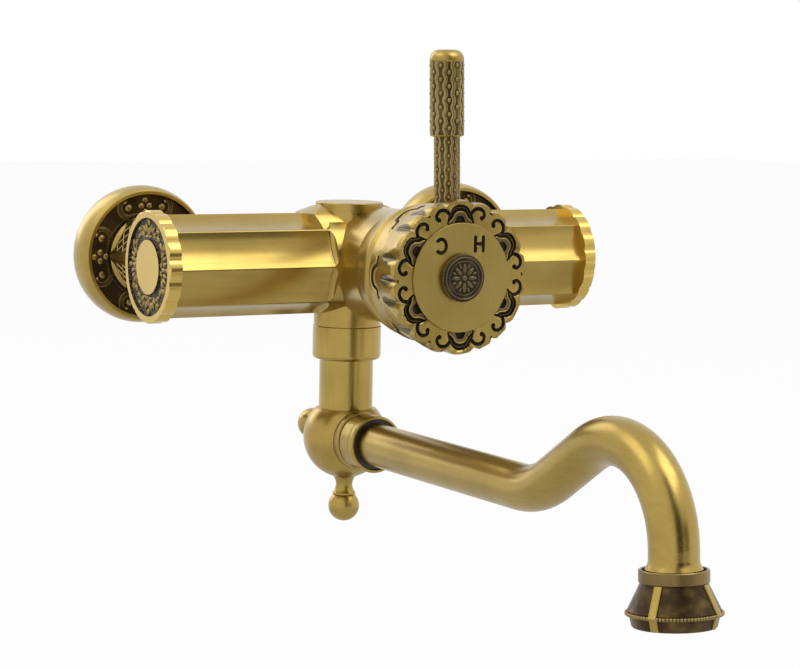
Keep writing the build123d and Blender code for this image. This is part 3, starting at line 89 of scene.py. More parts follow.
# Painted light: the end caps' brass is lighter than the rest, standing in for the bright light their flat
# ends catch
LIT_CAP_SHADES = ((0.66, 0.46, 0.115, 1.0), (0.58, 0.40, 0.09, 1.0))
RELIC_SHADES = ((0.20, 0.145, 0.06, 1.0), (0.10, 0.07, 0.03, 1.0))
BELL_CUP_SHADES = ((0.24, 0.165, 0.055, 1.0), (0.15, 0.10, 0.03, 1.0))
BELL_BEAD_SHADES = ((0.34, 0.24, 0.09, 1.0), (0.2, 0.13, 0.045, 1.0))
CUT_SHADES = ((0.62, 0.46, 0.2, 1.0), (0.5, 0.36, 0.14, 1.0))
MEDALLION_SHADES = ((0.03, 0.022, 0.012, 1.0), (0.09, 0.065, 0.03, 1.0))
PANEL_SHADES = ((0.05, 0.028, 0.008, 1.0), (0.16, 0.10, 0.03, 1.0))
UMBER_SHADES = ((0.07, 0.045, 0.014, 1.0), (0.17, 0.115, 0.04, 1.0))

# Flange ornament
FLANGE_MOTIFS = 4
FLANGE_TURN = {"left": radians(-1.3), "right": radians(-9.2)}
FLANGE_FACE = 0.0104
FLANGE_RIM_INNER = 0.0254
FLANGE_BORE = 0.01335
FLANGE_GROUND_TOP = 0.0127
FLANGE_RING = 0.0204
GROUND_SKIN = 0.00006
GROUND_BACK = 0.0003
FLANGE_GROUND = FLANGE_FACE + GROUND_SKIN
# Corners of the ground's rounded edge: inwards from the wall, and up from the face
GROUND_FILLET = [(0.0008, 0.0), (0.0002, 0.0003), (0.0, 0.001)]
CLUSTER_TALL = 0.0026
CLUSTER_WIDE = 0.0018
CLUSTER_BEAD = 0.00132
SCROLL_AWAY = radians(20.9)
SCROLL_RING = 0.0211
SCROLL_BEAD = 0.00165
SCROLL_TIP = (0.0006, 0.0027, 0.0002)
SCROLL_RADIUS = 0.0042
SCROLL_WIRE = 0.00078
SCROLL_SUNK = 0.00035
SCROLL_EDGE = 0.00026
SCROLL_EDGE_SHARES = (1.19, 0.76)
# Angle in degrees, share of the radius, and thickness along a scroll
SCROLL_SWEEP = [(78, 0.66, 0.8), (90, 0.78, 0.95), (108, 0.92, 1.05), (130, 1.0, 1.0), (160, 1.0, 1.0),
                (190, 1.0, 1.0), (220, 1.0, 1.0), (250, 1.0, 0.95), (278, 1.04, 0.8), (300, 1.12, 0.55),
                (318, 1.22, 0.25)]
HOOP_RADIUS = 0.0174
HOOP_WIRE = 0.6 * SCROLL_WIRE

# Union nut lattice
NUT_SIDES = 6
NUT_FLATS = 0.030
NUT_TURNED_RADIUS = 0.0165
NUT_COLLAR_END = 0.0032
NUT_END_TRIM = 0.0018
LATTICE_PITCH = 0.0056
LATTICE_WIRE = 0.0003
LATTICE_MARGIN = 0.0008
PANEL_THICK = 0.0001

# End cap ornament
CAP_RECESS = 0.0010
CAP_RING_OUTER = 0.0194
CAP_RING_INNER = 0.0108
CAP_FLOOR = GROUND_SKIN - CAP_RECESS
CAP_GROUND_TOPS = (-0.00015, -0.0002)
CAP_GROUND_BACK = 0.0004
CAP_GROUND_LAP = 0.0002
CAP_GROUND_SLOPE = 0.0003
SPRAYS = 4
LEAF_TALL = 0.0016
LEAF_TAPER = 0.65
LEAF_WIDEST = -0.1
# Degrees off the spray's middle, distance off the ring's middle, tilt, length and width of each leaf
SPRAY_LEAVES = [(0, 0.0026, 0, 0.0028, 0.0022), (0, -0.0011, 0, 0.0036, 0.0021),
                (8.5, 0.0004, -9, 0.0036, 0.0018), (16, 0.0003, -16, 0.0034, 0.0017),
                (23, -0.0009, -34, 0.0032, 0.0017), (31, 0.0017, -62, 0.0030, 0.0018),
                (38, -0.0004, -85, 0.0032, 0.0018), (8, -0.0029, -74, 0.0028, 0.0014)]
# Degrees off the spray's middle, distance off the ring's middle, and thickness along the stem
SPRAY_STEM = [(12, -0.0030, 0.6), (20, -0.0026, 0.9), (29, -0.0012, 1.0), (34, 0.0008, 1.0),
              (31, 0.0024, 0.9), (25, 0.0026, 0.8), (22, 0.0014, 0.7), (25, 0.0006, 0.6)]
STEM_WIRE = 0.0003

# Drum ornament, in the drum's front plane: x along the rim, y outwards
MOTIFS = 6
GROOVE = 0.00076
POCKET_DEPTH = 0.0010
POCKET = [(0.0060, 0.0207), (0.0060, 0.0214), (0.0057, 0.0226), (0.0055, 0.0238), (0.0051, 0.0247),
          (0.0044, 0.0252), (0.0042, 0.0259), (0.0037, 0.0268), (0.0027, 0.0276), (0.0014, 0.0281)]
ARCH_LINE = [(0.0051, 0.0211), (0.0046, 0.0219), (0.0036, 0.0225), (0.0029, 0.0234), (0.0024, 0.0245),
             (0.0015, 0.0252), (0.0005, 0.0254)]
ARCH_INSIDE = [(0.0024, 0.0209), (0.0021, 0.0221), (0.0018, 0.0231), (0.0010, 0.0238), (0.0003, 0.0239)]
ARCH_SUNK = 0.00035
ARCH_WIRE = 0.00028
FAINT_LINE = [(0.0049, 0.0232), (0.0046, 0.0240), (0.0036, 0.0249), (0.0033, 0.0258), (0.0024, 0.0267),
              (0.0012, 0.0271)]
FAINT_WIRE = 0.0003
HOOK = [(-0.0046, 0.0242), (-0.0056, 0.0256), (-0.0071, 0.02635), (-0.0090, 0.02625), (-0.0104, 0.0251),
        (-0.0107, 0.0237), (-0.0103, 0.0227), (-0.0095, 0.0225)]
HOOK_SWELL = (1.0, 1.0, 1.0, 0.95, 0.9, 0.9, 1.0, 1.15)
HOOK_TIP = 0.00095
CUSP_DOT = 0.00038
CUSP_DOT_RING = 0.0277
CUSP_DOT_ANGLE = radians(29.4)

# Painted shade: dark ovals between the drum's lobes, where the valleys reflect dark; valleys measured from
# the middle of a motif
OVAL_BACK = 0.0084
OVAL_HALF_LENGTH = 0.0062
OVAL_HALF_ANGLE = radians(4.4)
VALLEYS = (radians(13.0), radians(30.0))
LOBE_FLOOR = 0.0262
LOBE_RISE = 0.0006

# Relief at the drum's rear edge: degrees round the drum, and distance in front of that edge
BACK_RING = 0.0271
BACK_PROUD = 0.0001
BACK_WIRE = 0.00045
BACK_ARCH = [(-19, 0.0098), (-22, 0.0092), (-23, 0.0074), (-21, 0.0056), (-17, 0.0048), (-13.5, 0.0058),
             (-11.5, 0.0052), (-9.5, 0.0030), (-5, 0.0021), (0, 0.0019)]
BACK_INNER = [(-8, 0.0078), (-7, 0.0060), (-3.5, 0.0050), (0, 0.0047)]
BED_SUNK = 0.0003
BED_WIRE = 0.0009
BED_SHARE = 0.84
BED_FORWARD = 0.0013

# Marks cut into the disc
MARK_GROOVE = 0.00072
HOT_POSTS = (0.0059, 0.0094)
HOT_FOOT = 0.0103
HOT_HEAD = 0.0156
COLD_CENTRE = (-0.0094, 0.0124)
COLD_RADIUS = (0.0023, 0.0027)
COLD_OPENING = radians(35)

# Small cap: knurls, rings as (inset from its edge, wire), and petals as (length, width, height)
KNURLS = 84
KNURL_WIRE = 0.00024
KNURL_ENDS = (-0.0020, -0.0004)
CAP_RINGS = [(0.0011, 0.00032), (0.0026, 0.00016)]
PETALS = 8
PETAL = (0.0040, 0.0019, 0.0011)
PETAL_RING = 0.0037
SMALL_PETAL = (0.0022, 0.0011, 0.0008)
SMALL_PETAL_RING = 0.0049
ROSETTE_HEART = 0.0012

# Lever texture, with heights along the lever from the drum's axis
LEVER_COLUMNS = 12
LEVER_FIRST_COLUMN = radians(7.4)
BEAD_PITCH = 0.00534
BEAD_TOP = 0.0813
BEAD_SHARE = 0.2
BEAD_CLEAR = (0.0004, 0.0002)
RIB_DEPTH = 0.00038
RIB_SHARE = 0.23
RIB_SWING = 0.106
RIB_STEPS = 8
GRIP_BAND = 0.0003
GRIP_BAND_INSET = (0.0006, 0.0002)
GRIP_BAND_DEPTH = 0.001
GRIP_DOME = 0.0038
DOME_SEAT = (0.0005, 0.001)
DOME_LIP = (0.0001, 0.0003)
LEVER_FACETS = 72
ROD_FOOT_SHOWN = 0.0045

# Outlet; its corners are (radius, distance below the bell's upper rim)
OUTLET_LEAN = radians(4.0)
WASHER_DEPTH = 0.0092
BELL_THREAD = 0.0092
CUP = (0.0120, 0.0044)
CUP_MOUTH = (0.0109, 0.0013)
CUP_EDGE = 0.0003
MOUTH_EDGE = 0.0002
THROAT = (0.0113, 0.0044)
THROAT_LAP = 0.0002
SKIRT = (0.0158, 0.0136)
SKIRT_UNDER = (0.0157, 0.0142)
LIP = (0.0152, 0.0154)
FOOT = (0.0143, 0.0193)
FOOT_SIDE = (0.0144, 0.0189)
FOOT_EDGE = (0.0140, 0.0193)
CHAMBER = (0.0123, 0.0086)
BELL_BEADS = 86
BEAD_RING = (0.0160, 0.0146)
BEAD_RADIUS = 0.00068
STRAPS = 4
STRAP_ANGLE = radians(28.0)
STRAP_WIDTH = 0.0029
STRAP_PROUD = 0.0006
STRAP_DEEP = 0.0008
STRAP_ROUND = 0.00018
STRAP_IN_BEADS = (0.0164, 0.0146)
STRAP_OVER_BEADS = (0.0168, 0.0144)
STRAP_OVER_LIP = (0.0158, 0.0157)
STRAP_OVER_FOOT = (0.01472, 0.0191)

# Ridges of the bar
FLUTES = 8
BAR_RADIUS = 0.0205
RIDGE_START = 0.0225
RIDGE_ROUND = 0.0008

# Surroundings
MIXER_MIDDLE = (0.0, -0.13, 0.0)
FLOOR_SIZE = 8.0
FLOOR_BACK = 1.0
FLOOR_BELOW = 0.10
FLOOR_GLOW = 0.94
CARD_BELOW = 0.095
WORLD_LIGHT = 0.55
WHITE = (1.0, 1.0, 1.0, 1.0)


class Value:
    """Output of a node in a material; arithmetic on it adds Math nodes."""

    def __init__(self, tree, socket):
        self.tree = tree
        self.socket = socket

    def node(self, kind, settings, inputs, output=0):
        """Add a node: its settings first, then the values or links of its sockets."""
        node = self.tree.nodes.new("ShaderNode" + kind)
        for name, value in settings.items():
            setattr(node, name, value)
        for name, value in inputs.items():
            if isinstance(value, Value):
                self.tree.links.new(value.socket, node.inputs[name])
            else:
                node.inputs[name].default_value = value
        return Value(self.tree, node.outputs[output]) if node.outputs else None

    def math(self, operation, first, second=0.0):
        return self.node("Math", {"operation": operation}, {0: first, 1: second})

    def __add__(self, other):
        return self.math("ADD", self, other)

    def __sub__(self, other):
        return self.math("SUBTRACT", self, other)

    def __mul__(self, other):
        return self.math("MULTIPLY", self, other)

    def __truediv__(self, other):
        return self.math("DIVIDE", self, other)

    def __radd__(self, other):
        return self.math("ADD", other, self)

    def __rsub__(self, other):
        return self.math("SUBTRACT", other, self)

    def __rmul__(self, other):
        return self.math("MULTIPLY", other, self)

    def step(self, low, high):
        """0 below low, 1 above high, with a smooth change between them."""
        ends = {"Value": self, "From Min": low, "From Max": high}
        return self.node("MapRange", {"interpolation_type": "SMOOTHSTEP"}, ends)

    def mixed(self, first, second):
        """Colour mix, with this value as the share of the second."""
        return self.node("Mix", {"data_type": "RGBA"}, {0: self, 6: first, 7: second}, 2)


def material(name, build, **constants):
    """Principled material: constants on its own sockets, the rest from build(object coordinates)."""
    made = bpy.data.materials.new(name)
    made.use_nodes = True
    tree = made.node_tree
    shader = tree.nodes["Principled BSDF"]
    for socket, value in constants.items():
        shader.inputs[socket.replace("_", " ")].default_value = value
    coordinates = tree.nodes.new("ShaderNodeTexCoord")
    for socket, value in build(Value(tree, coordinates.outputs["Object"])).items():
        tree.links.new(value.socket, shader.inputs[socket])
    return made


def noise(place, scale, detail=2.0, stretch=(1.0, 1.0, 1.0)):
    """Noise value on stretched coordinates."""
    stretched = place.node("Mapping", {}, {"Vector": place, "Scale": stretch})
    return place.node("TexNoise", {}, {"Vector": stretched, "Scale": scale, "Detail": detail})


def bumped(height, strength, distance):
    return height.node("Bump", {}, {"Height": height, "Strength": strength, "Distance": distance})


def brushed_brass(name, stretch, shade=BRASS, dark=BRASS_SHADE, rough=0.27):
    """Satin aged brass: brush marks along the axis with the small factor, clouds, thin lacquer."""
    def build(place):
        brush = noise(place, 700.0, 3.0, stretch)
        cloud = noise(place, 45.0, 3.0)
        speck = noise(place, 2600.0, 1.0)
        colour = (cloud.step(0.35, 0.72) * 0.7 + brush.step(0.4, 0.75) * 0.3).mixed(shade, dark)
        roughness = rough + brush * 0.10 + cloud * 0.05
        return {"Base Color": colour, "Roughness": roughness,
                "Normal": bumped(brush * 0.8 + speck * 0.2, 0.14, 0.00004)}
    return material(name, build, Metallic=1.0, Coat_Weight=0.25, Coat_Roughness=0.25)


def patina_brass(name, low, high, rough=0.4):
    """Dark oxidised brass that shows warm where it was rubbed."""
    def build(place):
        cloud = noise(place, 160.0, 4.0)
        grit = noise(place, 1500.0, 3.0)
        colour = cloud.step(0.42, 0.75).mixed(low, high)
        return {"Base Color": colour, "Roughness": rough + grit * 0.2,
                "Normal": bumped(grit, 0.25, 0.00008)}
    return material(name, build, Metallic=0.75)


def stippled_ground():
    """Punched ground of the end caps: black pits between rubbed brass tips."""
    def build(place):
        cells = place.node("TexVoronoi", {"feature": "F1"}, {"Vector": place, "Scale": 1700.0})
        tips = 1.0 - cells.step(0.28, 0.42)
        cloud = noise(place, 300.0)
        colour = (tips * cloud.step(0.25, 0.5)).mixed(STIPPLE_PIT, STIPPLE_TIP)
        return {"Base Color": colour, "Roughness": 0.36 + cloud * 0.15,
                "Normal": bumped(tips, 0.9, 0.0003)}
    return material("stippled_ground", build, Metallic=1.0)


def plain_stuff(name, colour, rough, metallic=0.0, strength=0.1):
    """Rubber, plastic, ceramic or bare metal with a fine uneven surface."""
    darker = tuple(0.8 * channel for channel in colour[:3]) + (1.0,)

    def build(place):
        grain = noise(place, 900.0, 3.0)
        cloud = noise(place, 60.0, 2.0)
        return {"Base Color": cloud.step(0.35, 0.7).mixed(colour, darker),
                "Roughness": rough + grain * 0.12, "Normal": bumped(grain, strength, 0.0001)}
    return material(name, build, Metallic=metallic)


def make_palette():
    """Every finish of the mixer, by name."""
    even = (1.0, 1.0, 1.0)
    return {
        "aged_brass": brushed_brass("satin_brass", (1.0, 0.06, 1.0), rough=0.22),
        "along_bar": brushed_brass("bar_brass", (0.05, 1.0, 1.0), rough=0.16),
        "upright": brushed_brass("upright_brass", (1.0, 1.0, 0.05), rough=0.14),
        "rings": brushed_brass("turned_brass", even, rough=0.25),
        "bright": brushed_brass("lighter_brass", even, BRASS_LIGHTER, BRASS, 0.24),
        "dull": brushed_brass("bead_satin", even, *BEAD_SHADES, 0.3),
        "relic": brushed_brass("dull_brass", even, *RELIC_SHADES, 0.3),
        # Painted light: the end caps' lighter brass
        "cap": brushed_brass("lit_cap_brass", even, *LIT_CAP_SHADES, 0.15),
        "disc": brushed_brass("disc_brass", (1.0, 1.0, 0.04), *DISC_SHADES, 0.3),
        "drum": drum_brass(),
        "lever_rib": brushed_brass("lever_brass", (1.0, 1.0, 0.2), *LEVER_SHADES, 0.24),
        "tan": brushed_brass("tanned_brass", (1.0, 1.0, 0.1), *BELL_CUP_SHADES, 0.3),
        "tan_bright": brushed_brass("bead_brass", even, *BELL_BEAD_SHADES, 0.25),
        "raw_brass": brushed_brass("cut_brass", even, *CUT_SHADES),
        "patina": patina_brass("brown_patina", PATINA, PATINA_WARM),
        "soot": patina_brass("black_patina", SOOT, PATINA, 0.5),
        "umber": patina_brass("umber_patina", *UMBER_SHADES, 0.3),
        "panel": patina_brass("panel_patina", *PANEL_SHADES, 0.24),
        "relic_dark": patina_brass("cap_patina", *MEDALLION_SHADES, 0.35),
        "stipple": stippled_ground(),
        "steel": plain_stuff("plain_steel", (0.55, 0.55, 0.56, 1.0), 0.25, 1.0),
        "black_rubber": plain_stuff("black_rubber", (0.02, 0.02, 0.02, 1.0), 0.6, strength=0.3),
        "white_plastic": plain_stuff("white_plastic", (0.72, 0.72, 0.70, 1.0), 0.35),
        "dark_plastic": plain_stuff("dark_plastic", (0.035, 0.026, 0.018, 1.0), 0.25),
        "ceramic": plain_stuff("lapped_ceramic", (0.78, 0.76, 0.70, 1.0), 0.15),
    }


def fresh():
    """Leave edit mode and deselect everything, so that operators act on new pieces alone."""
    if bpy.context.mode != "OBJECT":
        bpy.ops.object.mode_set(mode="OBJECT")
    bpy.ops.object.select_all(action="DESELECT")


def only(piece):
    """Make one piece the sole selected and active object."""
    fresh()
    piece.select_set(True)
    bpy.context.view_layer.objects.active = piece


def settle(piece, place):
    """Put a piece's place into its mesh, with its object at the origin."""
    piece.data.transform(place @ piece.matrix_world)
    piece.matrix_world = Matrix.Identity(4)
    return piece


def axes(origin, right, up):
    """Frame with its x to the right, y up and z towards the viewer of that side."""
    right, up = Vector(right), Vector(up)
    out = right.cross(up)
    turn = Matrix((right, up, out)).transposed().to_4x4()
    return Matrix.Translation(origin) @ turn


def turn_z(angle):
    return Matrix.Rotation(angle, 4, "Z")


def turns_round(count, first=0.0):
    """Even turns about z, as many as the count."""
    return [turn_z(first + tau * number / count) for number in range(count)]


def shift(x, y, z=0.0):
    return Matrix.Translation((x, y, z))


def smooth(piece, angle):
    """Shade smooth, with sharp edges past an angle in degrees."""
    only(piece)
    bpy.ops.object.shade_smooth_by_angle(angle=radians(angle))
    return piece


def coat(piece, finish):
    """Give a piece one finish."""
    piece.data.materials.clear()
    piece.data.materials.append(palette[finish])
    return piece


def joined(name, pieces):
    """Join pieces into one."""
    fresh()
    for piece in pieces:
        piece.select_set(True)
    bpy.context.view_layer.objects.active = pieces[0]
    if len(pieces) > 1:
        bpy.ops.object.join()
    whole = bpy.context.view_layer.objects.active
    whole.name = name
    whole.data.name = name
    return whole


def spread(name, unit, places):
    """Copies of one modelled unit at each place, joined as one piece."""
    copies = []
    for place in places:
        copy = unit.copy()
        copy.data = unit.data.copy()
        copy.data.transform(place)
        bpy.context.collection.objects.link(copy)
        copies.append(copy)
    bpy.data.objects.remove(unit)
    return joined(name, copies)


def bead(radius, long=1.0, flat=1.0, segments=14, rings=8):
    """Small ball, lengthened along y and flattened along z."""
    fresh()
    bpy.ops.mesh.primitive_uv_sphere_add(segments=segments, ring_count=rings, radius=radius)
    ball = bpy.context.object
    ball.data.transform(Matrix.Diagonal((1.0, long, flat, 1.0)))
    bpy.ops.object.shade_smooth()
    return ball


def bead_at(radius, place):
    """Small round ball at a place."""
    ball = bead(radius)
    ball.data.transform(place)
    return ball


def curve_piece(points, closed, kind="NURBS"):
    """Curve object through or near points; a fourth value scales its thickness there."""
    fresh()
    bpy.ops.curve.primitive_nurbs_path_add()
    piece = bpy.context.object
    curve = piece.data
    curve.splines.clear()
    spline = curve.splines.new(kind)
    spline.points.add(len(points) - 1)
    for point, place in zip(spline.points, points):
        point.co = (place[0], place[1], place[2] if len(place) > 2 else 0.0, 1.0)
        point.radius = place[3] if len(place) > 3 else 1.0
    spline.order_u = 3
    spline.use_endpoint_u = not closed
    spline.use_cyclic_u = closed
    spline.resolution_u = 4
    return piece


def meshed(piece):
    """Turn a curve into a mesh."""
    only(piece)
    bpy.ops.object.convert(target="MESH")
    return bpy.context.object


def wire(points, radius, closed=False, sides=3, kind="NURBS"):
    """Round wire bent along points, capped at its ends."""
    piece = curve_piece(points, closed, kind)
    piece.data.bevel_depth = radius
    piece.data.bevel_resolution = sides
    piece.data.use_fill_caps = True
    return smooth(meshed(piece), 50.0)


def plate(outline, thick, bevel=0.0):
    """Flat plate of an outline in x and y, centred on z, with rounded edges."""
    piece = curve_piece(outline, True, "POLY")
    piece.data.dimensions = "2D"
    piece.data.fill_mode = "BOTH"
    piece.data.extrude = thick / 2 - bevel
    piece.data.bevel_depth = bevel
    piece.data.bevel_resolution = 2
    piece.data.offset = -bevel
    return smooth(meshed(piece), 40.0)


def lathe(outline, steps=96):
    """Turn an outline of (radius, distance) corners round z."""
    fresh()
    bpy.ops.mesh.primitive_circle_add(vertices=len(outline), radius=1.0, fill_type="NOTHING")
    piece = bpy.context.object
    for vertex, (radius, distance) in zip(piece.data.vertices, outline):
        vertex.co = (radius, 0.0, distance)
    bpy.ops.object.mode_set(mode="EDIT")
    bpy.ops.mesh.select_all(action="SELECT")
    bpy.ops.mesh.spin(steps=steps, angle=tau, center=(0.0, 0.0, 0.0), axis=(0.0, 0.0, 1.0))
    bpy.ops.mesh.select_all(action="SELECT")
    bpy.ops.mesh.remove_doubles(threshold=0.000001)
    bpy.ops.mesh.normals_make_consistent(inside=False)
    bpy.ops.object.mode_set(mode="OBJECT")
    return smooth(piece, 30.0)


def arc(centre, radius, start, end, count, z=0.0):
    """Points on an arc; angles run anticlockwise from +x."""
    if not isinstance(radius, tuple):
        radius = (radius, radius)
    angles = [start + (end - start) * step / (count - 1) for step in range(count)]
    return [(centre[0] + radius[0] * cos(a), centre[1] + radius[1] * sin(a), z) for a in angles]


def ring_line(radius, z=0.0):
    """Points of a closed ring round z."""
    return arc((0, 0), radius, 0, tau * 63 / 64, 64, z)


def mirrored(points):
    return [(-point[0],) + tuple(point[1:]) for point in points]


def carved(name, node, cutter, finish, floor):
    """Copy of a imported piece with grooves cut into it, which takes that piece's place."""
    source = nodes[node]
    piece = source.copy()
    piece.data = source.data.copy()
    piece.parent = None
    for key in list(piece.keys()):
        del piece[key]
    bpy.context.collection.objects.link(piece)
    piece.name = name
    piece.data.name = name
    only(piece)
    bpy.ops.object.mode_set(mode="EDIT")
    bpy.ops.mesh.select_all(action="SELECT")
    bpy.ops.mesh.remove_doubles(threshold=0.000001)
    bpy.ops.object.mode_set(mode="OBJECT")
    coat(piece, finish)
    coat(cutter, floor)
    cut = piece.modifiers.new("grooves", "BOOLEAN")
    cut.operation = "DIFFERENCE"
    cut.solver = "EXACT"
    cut.use_self = True
    cut.material_mode = "TRANSFER"
    cut.object = cutter
    bpy.ops.object.modifier_apply(modifier=cut.name)
    bpy.data.objects.remove(cutter)
    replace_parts(piece, node)
    smooth(piece, 30.0)
    weigh = piece.modifiers.new("normals", "WEIGHTED_NORMAL")
    weigh.keep_sharp = True
    bpy.ops.object.modifier_apply(modifier=weigh.name)
    return piece


def middle(node):
    low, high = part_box(node)
    return (low + high) / 2


def dress(piece, body, finish=None):
    """Finish a new piece, and let it ride on its body."""
    if finish:
        coat(piece, finish)
    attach(piece, body)
    return piece


def flange_frame(side):
    """Frame on a flange's face plane: its z runs out of the wall."""
    centre = middle("wall_flange_" + side)
    return axes((centre.x, 0.0, centre.z), (1, 0, 0), (0, 0, 1))


def flange_ornament(side):
    """Dark ground, bead clusters, C-scrolls and hoop on a flange's sunk face."""
    place = flange_frame(side)
    turns = [FLANGE_TURN[side] + tau * number / FLANGE_MOTIFS for number in range(FLANGE_MOTIFS)]
    flange_ground(side, place)
    flange_beads(side, place, turns)
    flange_scrolls(side, place, turns)


def flange_ground(side, place):
    """Dark lining of a flange's sunk face and of the wall round it."""
    wall = FLANGE_RIM_INNER - GROUND_SKIN
    outside = FLANGE_RIM_INNER + GROUND_BACK
    behind = FLANGE_FACE - GROUND_BACK
    fillet = [(wall - inwards, FLANGE_GROUND + up) for inwards, up in GROUND_FILLET]
    ground = lathe([(FLANGE_BORE, behind), (FLANGE_BORE, FLANGE_GROUND)] + fillet
                   + [(wall, FLANGE_GROUND_TOP), (outside, FLANGE_GROUND_TOP), (outside, behind)])
    ground.name = "flange_ground_" + side
    dress(settle(ground, place), "mixer_body", "patina")


def flange_beads(side, place, turns):
    """Clusters of four beads, and a ball inside each scroll."""
    spots = []
    for turn in turns:
        for x, y in ((0, CLUSTER_TALL), (0, -CLUSTER_TALL), (CLUSTER_WIDE, 0), (-CLUSTER_WIDE, 0)):
            spots.append(turn_z(-turn) @ shift(x, FLANGE_RING + y, FLANGE_GROUND))
    clusters = spread("clusters", bead(CLUSTER_BEAD, 1.1, 0.5), spots)
    balls = spread("balls", bead(SCROLL_BEAD, 1.0, 0.5), scroll_spots(turns))
    beads = joined("flange_beads_" + side, [clusters, balls])
    dress(settle(beads, place), "mixer_body", "dull")


def flange_scrolls(side, place, turns):
    """C-scroll with bright edges and end on both sides of each cluster, and a hoop inside them all; the end's
    lighter brass is a painted glint.
    """
    bands = []
    edges = []
    ends = []
    for way in (1, -1):
        spots = scroll_spots(turns, (way,))
        band = wire(scroll_line(SCROLL_SWEEP, SCROLL_RADIUS, -SCROLL_SUNK, way), SCROLL_WIRE, sides=3)
        bands.append(spread("bands", band, spots))
        for share in SCROLL_EDGE_SHARES:
            line = scroll_line(SCROLL_SWEEP[1:-1], SCROLL_RADIUS * share, 0.0, way)
            edges.append(spread("edges", wire(line, SCROLL_EDGE, sides=1), spots))
        # Painted glint: each scroll's end is a bead in the lighter brass
        end = bead(SCROLL_WIRE, 1.0, 0.9)
        end.data.transform(shift(-way * SCROLL_TIP[0], SCROLL_TIP[1], SCROLL_TIP[2]))
        ends.append(spread("ends", end, spots))
    hoop = wire(ring_line(HOOP_RADIUS, FLANGE_GROUND), HOOP_WIRE, closed=True, sides=2)
    for name, pieces, finish in (("flange_scrolls_", bands + [hoop], "umber"),
                                 ("flange_scroll_lines_", edges, "dull"),
                                 ("flange_scroll_ends_", ends, "bright")):
        dress(settle(joined(name + side, pieces), place), "mixer_body", finish)


def scroll_spots(turns, ways=(1, -1)):
    """Places of the flange's scrolls, on one side of each cluster or on both."""
    return [turn_z(-turn + way * SCROLL_AWAY) @ shift(0, SCROLL_RING, FLANGE_GROUND)
            for turn in turns for way in ways]


def scroll_line(sweep, radius, height, way):
    """Points of a C-scroll from (angle, share of the radius, thickness) triples."""
    return [(way * radius * share * cos(radians(angle)), radius * share * sin(radians(angle)), height, thick)
            for angle, share, thick in sweep]


def clipped_diagonals(half_width, half_length, pitch):
    """Ends of the diagonal lines, both ways, that cross a rectangle."""
    lines = []
    reach = half_width + half_length
    count = int(reach / pitch)
    for number in range(-count, count + 1):
        offset = number * pitch
        for way in (-1, 1):
            low = max(-half_width, offset - half_length)
            high = min(half_width, offset + half_length)
            if high - low > pitch / 2:
                lines.append(((low, way * (offset - low)), (high, way * (offset - high))))
    return lines


def nut_ornament(side):
    """Dark panels with a raised diamond lattice on the flats of a union nut."""
    low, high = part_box("union_nut_" + side)
    start, end = low.y + NUT_END_TRIM, high.y - NUT_COLLAR_END
    centre = Vector(((low.x + high.x) / 2, (start + end) / 2, (low.z + high.z) / 2))
    half_length = (end - start) / 2
    half_width = (NUT_TURNED_RADIUS ** 2 - (NUT_FLATS / 2) ** 2) ** 0.5 - LATTICE_MARGIN
    place = axes(centre, (1, 0, 0), (0, 0, 1))
    corners = [(-half_width, -half_length), (half_width, -half_length), (half_width, half_length),
               (-half_width, half_length)]
    tip = Matrix.Rotation(radians(-90), 4, "X")
    flats = [turn @ shift(0, NUT_FLATS / 2) @ tip for turn in turns_round(NUT_SIDES)]
    panel = spread("nut_panels_" + side, plate(corners, PANEL_THICK), flats)
    dress(settle(panel, place), "mixer_body", "patina")
    lines = []
    for start, end in clipped_diagonals(half_width, half_length, LATTICE_PITCH):
        ends = [(start[0], start[1], PANEL_THICK / 2), (end[0], end[1], PANEL_THICK / 2)]
        lines.append(wire(ends, LATTICE_WIRE, sides=1, kind="POLY"))
    border = wire([corner + (PANEL_THICK / 2,) for corner in corners], LATTICE_WIRE, True, 1, "POLY")
    lattice = spread("nut_lattice_" + side, joined("lattice", lines + [border]), flats)
    dress(settle(lattice, place), "mixer_body", "bright")


def leaf(length, width, height):
    """Pointed leaf that lies along y and narrows towards its tip."""
    fresh()
    bpy.ops.mesh.primitive_uv_sphere_add(segments=10, ring_count=8, radius=0.5)
    piece = bpy.context.object
    for vertex in piece.data.vertices:
        x, y, z = vertex.co
        taper = 1.0 - LEAF_TAPER * max(0.0, y - LEAF_WIDEST)
        vertex.co = (x * width * taper, y * length, z * height)
    bpy.ops.object.shade_smooth()
    return piece


def cap_ornament(side):
    """Punched ground and sprays of leaves in an end cap's ring."""
    low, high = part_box("end_cap_" + side)
    centre = (low + high) / 2
    out = -1 if side == "left" else 1
    face = low.x if side == "left" else high.x
    place = axes((face, centre.y, centre.z), (0, out, 0), (0, 0, 1))
    cap_ground(side, place)
    cap_sprays(side, place)


def cap_ground(side, place):
    """Punched ground of an end cap's ring, with sloping edges."""
    behind = CAP_FLOOR - CAP_GROUND_BACK
    inner = [(CAP_RING_INNER - CAP_GROUND_LAP, behind), (CAP_RING_INNER + GROUND_SKIN, CAP_GROUND_TOPS[0]),
             (CAP_RING_INNER + CAP_GROUND_SLOPE, CAP_FLOOR)]
    outer = [(CAP_RING_OUTER - CAP_GROUND_SLOPE, CAP_FLOOR),
             (CAP_RING_OUTER - GROUND_SKIN, CAP_GROUND_TOPS[1]), (CAP_RING_OUTER + CAP_GROUND_LAP, behind)]
    ground = lathe(inner + outer)
    ground.name = "cap_ground_" + side
    dress(settle(ground, place), "mixer_body", "stipple")


